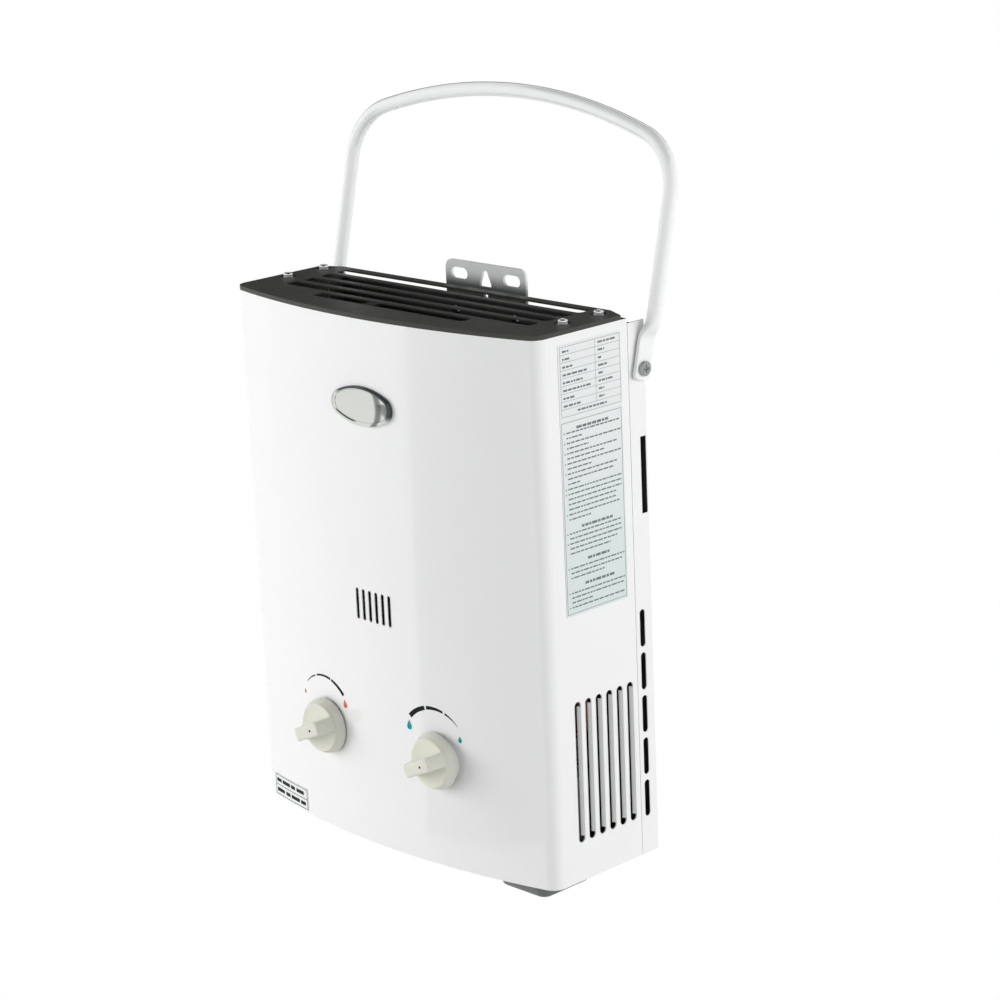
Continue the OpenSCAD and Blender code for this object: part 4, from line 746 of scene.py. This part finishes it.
class HEATER_OT_dial_marks(Operator):
    """Dial marks on the front: arcs that swell, two flames and two drops"""

    bl_idname = "heater.dial_marks"
    bl_label = "Dial marks"

    def execute(self, context):
        gas = dial_arc(-58.1, 81.7, 28.6, ((136.5, 112.5), (108.5, 76), (73.5, 42.5)),
                       ((0.4, 1.1), (1.2, 1.8), (1.9, 2.6)))
        water = dial_arc(51.4, 82.6, 28.6, ((137.5, 105.5), (102.5, 73), (69.5, 43.5)),
                         ((3.4, 3.0), (2.6, 1.6), (1.4, 0.3)))
        new_piece("dial_arcs", gas + water, "ink", "case")
        flames = ((-82.4, 93.5, 2.6, 3.6, 93.0), (-35.7, 95.4, 4.6, 6.0, 94.6))
        drops = ((29.1, 95.4, 4.8, 7.0, 94.4), (73.6, 93.8, 3.4, 4.8, 93.2))
        for name, outline, finish, marks in (("flame_marks", flame_outline, "coral_ink", flames),
                                             ("drop_marks", drop_outline, "teal_ink", drops)):
            blots = [printed_blot(outline(x, *rest), (x, middle)) for x, *rest, middle in marks]
            new_piece(name, blots, finish, "case")
        return {"FINISHED"}


def ruled(y, z, width):
    """A line of ink on the side label, from (y0, z0) to (y1, z1): its ends moved by +-width/2 across it."""
    a, b = np.array([y, z], float).T
    along = b - a
    across = np.array([-along[1], along[0]]) / np.hypot(*along) * width / 2
    return plate(*((LABEL_X, *corner) for corner in (a + across, a - across, b - across, b + across)))


def ruled_box(y, z, width):
    """Four lines round a box."""
    return [ruled(y, (z[0], z[0]), width), ruled(y, (z[1], z[1]), width),
            ruled((y[0], y[0]), z, width), ruled((y[1], y[1]), z, width)]


def word_bars(start, end, z, high, rng):
    """Plain bars in place of words: a row cut at random into runs of 1.5 to 5 mm with gaps of 0.8."""
    bars, at, gap = [], start, 0.8
    while at < end - gap:
        run = min(rng.uniform(1.5, 5.0), end - at)
        bars.append(ruled((at, at + run), (z, z), high))
        at += run + gap
    return bars


def sticker_line(start, end, width, steps):
    """A straight line of ink on the front sticker, from (x0, z0) to (x1, z1)."""
    x, z = (np.linspace(a, b, steps) for a, b in zip(start, end))
    return printed_strip(x, z, np.full(steps, width), PRINT_PROUD)


class HEATER_OT_label_rules(Operator):
    """Ruled lines and plain bars in place of words on the two side labels and the front sticker"""

    bl_idname = "heater.label_rules"
    bl_label = "Label rules"

    def execute(self, context):
        rng = np.random.default_rng(7)
        table, pitch, fine, letter = (-80.6, -25.6), 5.05, 0.26, 1.3
        lines = ruled_box(table, (316.3, 361.6), 0.3)
        lines += [ruled(table, (z, z), fine) for z in 356.55 - pitch * np.arange(8)]
        lines.append(ruled((-48.6, -48.6), (321.2, 361.6), fine))
        lines += ruled_box((-81.2, -26.0), (185.6, 312.4), 0.4)
        new_piece("label_rules", lines, "rule_ink", "case")
        bars = []
        for k, (left, right) in enumerate(zip((6, 6.5, 10, 22, 18, 26, 10, 16), (17, 6, 4, 9, 4, 13, 5, 5))):
            z = 359.1 - pitch * k
            bars += word_bars(-78.6, -78.6 + left, z - 0.5, letter, rng)
            bars += word_bars(-46.0, -46.0 + right, z, letter, rng)
        bars += word_bars(-66.0, -39.0, 318.7, letter, rng)
        for z, start, end in ((307.8, -67.8, -37.6), (242.2, -65.8, -36.9), (219.8, -61.2, -41.1),
                              (203.6, -64.4, -36.9)):
            bars += word_bars(start, end, z, 1.7, rng)
        blocks = (
            (np.linspace(305.5, 248.5, 18), (0, 2, 4, 6, 8, 11, 12, 16),
             (28, 63, 27, 57, 31, 43, 27.5, 55, 31, 35, 66, 27, 28, 27.5, 33, 33, 30, 57)),
            (np.linspace(239.1, 225.8, 5), (0, 2), (28, 28, 29, 32, 39.5)),
            (np.linspace(215.8, 209.4, 3), (0,), (27, 29.5, 46)),
            (np.linspace(199.3, 189.7, 4), (0, 3), (27, 28.5, 58, 28)),
        )
        for heights, dots, ends in blocks:
            for k, (z, end) in enumerate(zip(heights, ends)):
                bars += word_bars(-77.0, -end, z, 0.95, rng)
                if k in dots:
                    bars.append(ruled((-79.4, -78.5), (z, z), 0.9))
        new_piece("label_bars", bars, "word_ink", "case")
        left, right, thin, letter = -132.2, -88.8, 0.45, 2.7
        marks = [sticker_line((left, z), (right, z), thin, 30) for z in (2.4, 9.7, 17.1)]
        marks += [sticker_line((edge, 2.2), (edge, 17.3), thin, 3) for edge in (left, right)]
        for z, runs in ((13.4, ((-130.5, -124), (-122.5, -112), (-110.5, -105), (-103, -93))),
                        (6.0, ((-130.5, -120), (-118, -112), (-110.5, -99), (-97.5, -91)))):
            marks += [sticker_line((start, z), (end, z), letter, 8) for start, end in runs]
        new_piece("sticker_marks", marks, "ink", "case")
        return {"FINISHED"}


def cross_screw(head_r, head_h, shank_r, shank_l, wall=0.45):
    """A cross-head screw along Z with a dome on a straight wall and a recess in the dome.

    Dome: z = H (w + (1 - w) sqrt(1 - (r/R)^4)). Recess: less 0.4 H a b, where a falls from 1 to 0 as the
    smaller of |x|, |y| leaves an arm, and b as the larger of them passes the arm's end.
    """
    t = full_turn(64)[:, None]
    r = head_r * np.concatenate([np.sin(np.linspace(np.pi / 2, 0.9, 7)), np.linspace(0.74, 0, 17)])[None]
    x, y = r * np.cos(t), r * np.sin(t)
    small, large = np.minimum(abs(x), abs(y)), np.maximum(abs(x), abs(y))
    arm_half, arm_end, deep = 0.12, 0.52, 0.4
    arm = np.clip((arm_half * head_r - small) / (0.06 * head_r), 0, 1)
    reach = np.clip((arm_end * head_r - large) / (0.1 * head_r), 0, 1)
    z = head_h * (wall + (1 - wall) * np.sqrt(1 - (r / head_r) ** 4)) - deep * head_h * arm * reach
    dome = net(np.stack([x, y, z], -1), wrap_u=True)
    side = lathe([(0, -shank_l), (shank_r, -shank_l), (shank_r, 0), (head_r * 0.97, 0),
                  (head_r, 0.06 * head_h), (head_r, wall * head_h)], 64)
    return [dome, side]


class HEATER_OT_screws(Operator):
    """Cross-head screws of the grille, of the cover and at the handle's pivots"""

    bl_idname = "heater.screws"
    bl_label = "Screws"

    def execute(self, context):
        head, pivot = cross_screw(3.3, 2.8, 1.6, 6.0), cross_screw(5.0, 2.5, 2.5, 9.0, 0.6)
        above = [(x, y, GRILLE_TOP + 0.8, UP) for x in (-132.5, 132.5) for y in (-30.8, -63.8)]
        below = [(x, y, 1.8, DOWN) for x, y in ((-133.8, -30.8), (133.8, -30.8), (0, FRONT_Y + 8.5))]
        beside = [(x, PIVOT_Y, PIVOT_Z, axes) for x, axes in ((148.9, RIGHT), (-148.9, LEFT))]
        for name, node, screw, places, finish in (
            ("grille_screw_heads", "grille_screws", head, above, "bright_steel"),
            ("cover_screw_heads", "cover_screws", head, below, "steel"),
            # The pivot screws' dark steel is painted reflection and shadow.
            ("pivot_screw_heads", "handle_screws", pivot, beside, "dark_steel"),
        ):
            heads = [moved(q, at, axes) for *at, axes in places for q in screw]
            new_piece(name, heads, finish, "case", (node,), outwards=True)
        return {"FINISHED"}


class HEATER_OT_slot_lips(Operator):
    """Thin rolled lips of enamel: beads along the edges of the louvres, the side vents and the sight slots"""

    bl_idname = "heater.slot_lips"
    bl_label = "Slot lips"

    def execute(self, context):
        lips, lip_r, sunk = [], 0.42, 0.25
        louvres = [(-25.3 - 10 * k, 76.0, 6.5, 98.5) for k in range(6)]
        vents = [(-11.3, 39.0 + 30 * k, 5.5, 26.5) for k in range(5)]
        for side in (-1, 1):
            for y, z, wide, long in louvres + vents:
                loop = slot_loop(wide, long)
                path = np.column_stack([np.full(len(loop), side * (HALF_W - sunk)), loop + (y, z)])
                lips.append(bead(path, (side, 0, 0), lip_r))
        for k in range(6):
            x, z = (slot_loop(3.5, 22.5) + (6.25 * (k - 2.5), 172.0)).T
            lips.append(bead(np.column_stack([x, front_at(x, -sunk), z]), (0, -1, 0), lip_r))
        new_piece("slot_lips", lips, "white_paint", "case", outwards=True)
        return {"FINISHED"}


def threaded_fitting(x, seat):
    """A turned fitting with a bore, drawn as radius over height and angle: r(h, t).

    Thread: r = R(h) - 0.6 f (1 + cos(2 pi h / 1.8 - t)) / 2, with f fading at both ends.
    Hexagon: r = 10.825 / cos(t mod 60 - 30), never past 11.4 + 1.7 d, d the distance to its nearer face.
    """
    t = full_turn(72)[:, None]
    low, grip, top = -45.8, -25.8, -17.8
    h = np.linspace(low, grip - 0.9, 150)
    fade = np.clip((h - low) / 1.2, 0, 1) * np.clip((grip - 0.9 - h) / 1.8, 0, 1)
    outer = np.minimum(10.45, 9.3 + (h - low) * 1.1)
    thread = outer[None] - 0.6 * fade[None] * (1 + np.cos(2 * np.pi * h[None] / 1.8 - t)) / 2
    flat = 10.825 / np.cos(np.mod(t, np.pi / 3) - np.pi / 6)
    rise = np.array([0, 0.35, 0.7, 1.1, 6.9, 7.3, 7.65, 8.0])
    hexagon = np.minimum(flat, 11.4 + 1.7 * np.minimum(rise, 8.0 - rise)[None])
    neck = np.array([(9.5, grip - 0.8), (9.5, grip)])
    ends = np.array([(7.0, top), (7.0, seat - 4), (10.7, seat - 4), (11.0, seat - 3.7), (11.0, seat - 0.3),
                     (10.7, seat), (5.0, seat), (5.0, low)])
    ring = 0 * t
    radius = np.concatenate([thread, neck[:, 0] + ring, hexagon, ends[:, 0] + ring], 1)
    height = np.concatenate([h, neck[:, 1], grip + rise, ends[:, 1]])[None] + ring
    shape = net(np.stack([radius * np.cos(t), radius * np.sin(t), height], -1), wrap_u=True, wrap_v=True)
    return moved(shape, (x, -28.0, 0))


class HEATER_OT_fittings(Operator):
    """Three threaded brass fittings below the case: gas, hot water and cold water"""

    bl_idname = "heater.fittings"
    bl_label = "Fittings"

    def execute(self, context):
        fittings = (("gas_inlet", -60.0, 50.0), ("water_outlet", 0.0, 17.0), ("water_inlet", 45.0, 50.0))
        for node, x, seat in fittings:
            new_piece(node + "_thread", [threaded_fitting(x, seat)], "brass", "case", (node,),
                      crease=40, outwards=True)
        return {"FINISHED"}


class HEATER_OT_battery_lid(Operator):
    """Grey battery lid: a hollow tray with sloping ends, rounded corners and a hinge barrel.

    Tray: rounded rectangles at each height, moved in by the wall, by the ends' slope of 5 and by the bottom
    edge's round. Barrel: a tube along X. Leaf: a flat rounded bar between them.
    """

    bl_idname = "heater.battery_lid"
    bl_label = "Battery lid"

    def execute(self, context):
        low, high, thick, slope, middle_x = -11.8, 1.2, 1.5, 5.0, 107.0
        turn = np.linspace(0, np.pi / 2, 6)

        def ring(z, wall, soft):
            lean = slope * np.clip((high - 2 - z) / (high - 2 - low), 0, 1)
            half_x, half_y = 21.0 - wall - soft, 27.35 - wall - soft - lean
            return at_height(round_box(half_x, half_y, max(6.0 - wall - soft * 0.5, 1.0)), z)

        def shell(heights, wall, floor, soft):
            rings = [ring(z, wall, 0.0) for z in heights]
            rings += [ring(floor + soft * (1 - np.sin(q)), wall, soft * (1 - np.cos(q))) for q in turn]
            return rings + [rings[-1] * (k, k, 1) for k in (0.6, 0.0)]

        outside = shell((high - 0.25, high - 2, -4.0, -7.0), 0.0, low, 2.2)
        inside = shell((high - 0.25, -0.8, -4.0, -7.0), thick, low + thick, 1.2)
        rows = inside[::-1] + [ring(high, thick - 0.25, 0.0), ring(high, 0.25, 0.0)] + outside
        tray = moved(net(np.stack(rows, 1), wrap_u=True), (middle_x, -72.95, 0))
        tube = ((1.3, -10), (2.3, -10), (2.5, -9.8), (2.5, 9.8), (2.3, 10), (1.3, 10))
        barrel = net(np.stack([at_height(polar(r, full_turn(40)), z) for r, z in tube], 1), True, True)
        loop = round_box(10.0, 2.6, 0.4, 4)
        leaf = [at_height(loop * k, z) for k, z in ((0, -4.3), (1, -4.3), (1, -1.9), (0, -1.9))]
        hinge = [moved(barrel, (middle_x, -41.6, -1.8), RIGHT),
                 moved(net(np.stack(leaf, 1), wrap_u=True), (middle_x, -44.2, 0))]
        new_piece("battery_tray", [tray, *hinge], "grey_plastic", "battery_door",
                  ("battery_lid",), crease=40, outwards=True)
        return {"FINISHED"}


class HEATER_OT_finishes(Operator):
    """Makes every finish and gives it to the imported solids"""

    bl_idname = "heater.finishes"
    bl_label = "Finishes"

    def execute(self, context):
        FINISHES.update(make_finishes(context.scene.heater_colours))
        own = {"wall_bracket": "bracket_sheet", "service_label": "sticker_film", "front_cover": "case_enamel_shaded_inside",
               "rear_chassis": "case_enamel_shaded_inside", "flue_hood": "painted_shade_sheet", "grille_washers": "dark_steel"}
        for node, piece in frame["nodes"].items():
            for k, packed in enumerate(list(piece.data.materials)):
                piece.data.materials[k] = FINISHES[own.get(node, packed.name.split(".")[0])]
        return {"FINISHED"}


def soft_lamp(name, place, target, size, power):
    """A soft rectangular lamp aimed at the target, in metres and watts, that reflections don't see."""
    lamp = bpy.data.lights.new(name, "AREA")
    lamp.shape, lamp.size, lamp.size_y = "RECTANGLE", size[0], size[1]
    lamp.energy = power
    holder = bpy.data.objects.new(name, lamp)
    holder.location = place
    holder.rotation_euler = (Vector(target) - Vector(place)).to_track_quat("-Z", "Y").to_euler()
    holder.visible_glossy = False
    bpy.context.scene.collection.objects.link(holder)


def studio_sheet(name, half_u, half_v, count, place, turn):
    """A flat sheet of the studio: a net of (u, v, 0), turned and put in its place."""
    corners = [(u * half_u, v * half_v, 0) for u, v in ((-1, -1), (1, -1), (1, 1), (-1, 1))]
    points, quads = plate(*corners, count, count)
    sheet = new_object(name, points @ np.array(turn).T + np.array(place), quads)
    mat = bpy.data.materials.new(name)
    mat.use_nodes = True
    sheet.data.materials.append(mat)
    return sheet, mat.node_tree


def flag(name, place, target, size, grey):
    """A dark studio flag that only reflections see, turned to face the target."""
    turn = (Vector(target) - Vector(place)).to_track_quat("Z", "Y").to_matrix()
    card, tree = studio_sheet(name, size[0] / 2, size[1] / 2, 3, place, turn)
    set_inputs(tree.nodes["Principled BSDF"], Base_Color=(grey, grey, grey, 1), Roughness=1.0,
               Specular_IOR_Level=0.0)
    card.visible_camera = card.visible_diffuse = card.visible_shadow = card.visible_transmission = False


def pick_by_sight(tree, lit, seen, output):
    """Shows one shader to the camera, to reflections and through clear pieces, and another to other rays."""
    path, pick = tree.nodes.new("ShaderNodeLightPath"), tree.nodes.new("ShaderNodeMixShader")
    sight = path.outputs["Is Camera Ray"]
    for ray in ("Is Glossy Ray", "Is Transmission Ray"):
        either = tree.nodes.new("ShaderNodeMath")
        either.operation = "MAXIMUM"
        tree.links.new(sight, either.inputs[0])
        tree.links.new(path.outputs[ray], either.inputs[1])
        sight = either.outputs[0]
    for k, source in enumerate((sight, lit.outputs[0], seen.outputs[0])):
        tree.links.new(source, pick.inputs[k])
    tree.links.new(pick.outputs[0], output.inputs["Surface"])


class HEATER_OT_stage(Operator):
    """White floor, soft lamps, white surroundings and the camera"""

    bl_idname = "heater.stage"
    bl_label = "Stage"

    def execute(self, context):
        scene = context.scene
        floor_half, floor_z = 9, -0.95
        _, tree = studio_sheet("floor", floor_half, floor_half, 5, (0, 0, floor_z), np.eye(3))
        matt = tree.nodes["Principled BSDF"]
        set_inputs(matt, Base_Color=(0.8, 0.8, 0.8, 1), Roughness=0.9)
        pick_by_sight(tree, matt, tree.nodes.new("ShaderNodeEmission"), tree.nodes["Material Output"])

        world = scene.world or bpy.data.worlds.new("surroundings")
        scene.world = world
        world.use_nodes = True
        nodes, links = world.node_tree.nodes, world.node_tree.links
        nodes.clear()
        seen, fill = nodes.new("ShaderNodeBackground"), nodes.new("ShaderNodeBackground")
        set_inputs(seen, Color=(1, 1, 1, 1), Strength=1.0)
        set_inputs(fill, Color=(0.985, 0.995, 0.99, 1))
        split, fall = nodes.new("ShaderNodeSeparateXYZ"), nodes.new("ShaderNodeMapRange")
        links.new(nodes.new("ShaderNodeTexCoord").outputs["Generated"], split.inputs[0])
        fall.interpolation_type = "SMOOTHSTEP"
        set_inputs(fall, From_Min=0.15, From_Max=0.85, To_Min=0.92, To_Max=0.19)
        links.new(split.outputs["Z"], fall.inputs["Value"])
        links.new(fall.outputs["Result"], fill.inputs["Strength"])
        pick_by_sight(world.node_tree, fill, seen, nodes.new("ShaderNodeOutputWorld"))

        power = scene.heater_sizes.lamp
        soft_lamp("left_lamp", (-1.77, -1.77, 0.3), (0, -0.08, -0.2), (1.4, 1.8), power)
        soft_lamp("right_lamp", (2.25, 0.82, 0.4), (0, -0.02, -0.1), (1.4, 1.6), power * 0.75)
        flag("overhead_flag", (0, -0.1, 1.5), (0, -0.1, 0), (2.6, 2.2), 0.02)
        flag("rear_flag", (-1.15, 1.1, 0.5), (0, -0.05, 0), (2.3, 0.9), 0.02)
        flag("front_flag", (-0.63, -1.42, -0.62), (0, -0.1, -0.4), (0.62, 0.9), 0.45)

        camera = bpy.data.cameras.new("photo_camera")
        camera.sensor_width, camera.lens = 36.0, 105.93
        camera.clip_start, camera.clip_end = 0.1, 60
        holder = bpy.data.objects.new("photo_camera", camera)
        aim, away = Vector((0.08319, -0.0778, -0.12546)), 1.91808
        az, el, roll = math.radians(45.8), math.radians(15.69), math.radians(-2.43)
        back = Vector((math.sin(az) * math.cos(el), -math.cos(az) * math.cos(el), math.sin(el)))
        level = Vector((0, 0, 1)).cross(back).normalized()
        up = back.cross(level)
        right = level * math.cos(roll) + up * math.sin(roll)
        above = up * math.cos(roll) - level * math.sin(roll)
        turn = Matrix((right, above, back)).transposed().to_4x4()
        holder.matrix_world = Matrix.Translation(aim + back * away) @ turn
        scene.collection.objects.link(holder)
        scene.camera = holder
        scene.view_settings.view_transform = "Standard"
        return {"FINISHED"}


class HEATER_PT_pieces(Panel):
    """Lists the heater's pieces, sizes and colours"""

    bl_idname = "HEATER_PT_pieces"
    bl_label = "Water heater"
    bl_space_type = "VIEW_3D"
    bl_region_type = "UI"
    bl_category = "Heater"

    def draw(self, context):
        for group in (context.scene.heater_sizes, context.scene.heater_colours):
            for name in group.__annotations__:
                self.layout.prop(group, name)
        for operator in OPERATORS:
            self.layout.operator(operator.bl_idname)


OPERATORS = (HEATER_OT_finishes, HEATER_OT_badge, HEATER_OT_knobs, HEATER_OT_handle, HEATER_OT_dial_marks,
             HEATER_OT_label_rules, HEATER_OT_screws, HEATER_OT_slot_lips, HEATER_OT_fittings,
             HEATER_OT_battery_lid, HEATER_OT_stage)
CLASSES = (HeaterColours, HeaterSizes, *OPERATORS, HEATER_PT_pieces)


def register():
    for cls in CLASSES:
        bpy.utils.register_class(cls)
    bpy.types.Scene.heater_colours = PointerProperty(type=HeaterColours)
    bpy.types.Scene.heater_sizes = PointerProperty(type=HeaterSizes)


def unregister():
    del bpy.types.Scene.heater_sizes
    del bpy.types.Scene.heater_colours
    for cls in reversed(CLASSES):
        bpy.utils.unregister_class(cls)


def main():
    register()
    for operator in OPERATORS:
        group, name = operator.bl_idname.split(".")
        getattr(getattr(bpy.ops, group), name)()


if __name__ == "__main__":
    main()
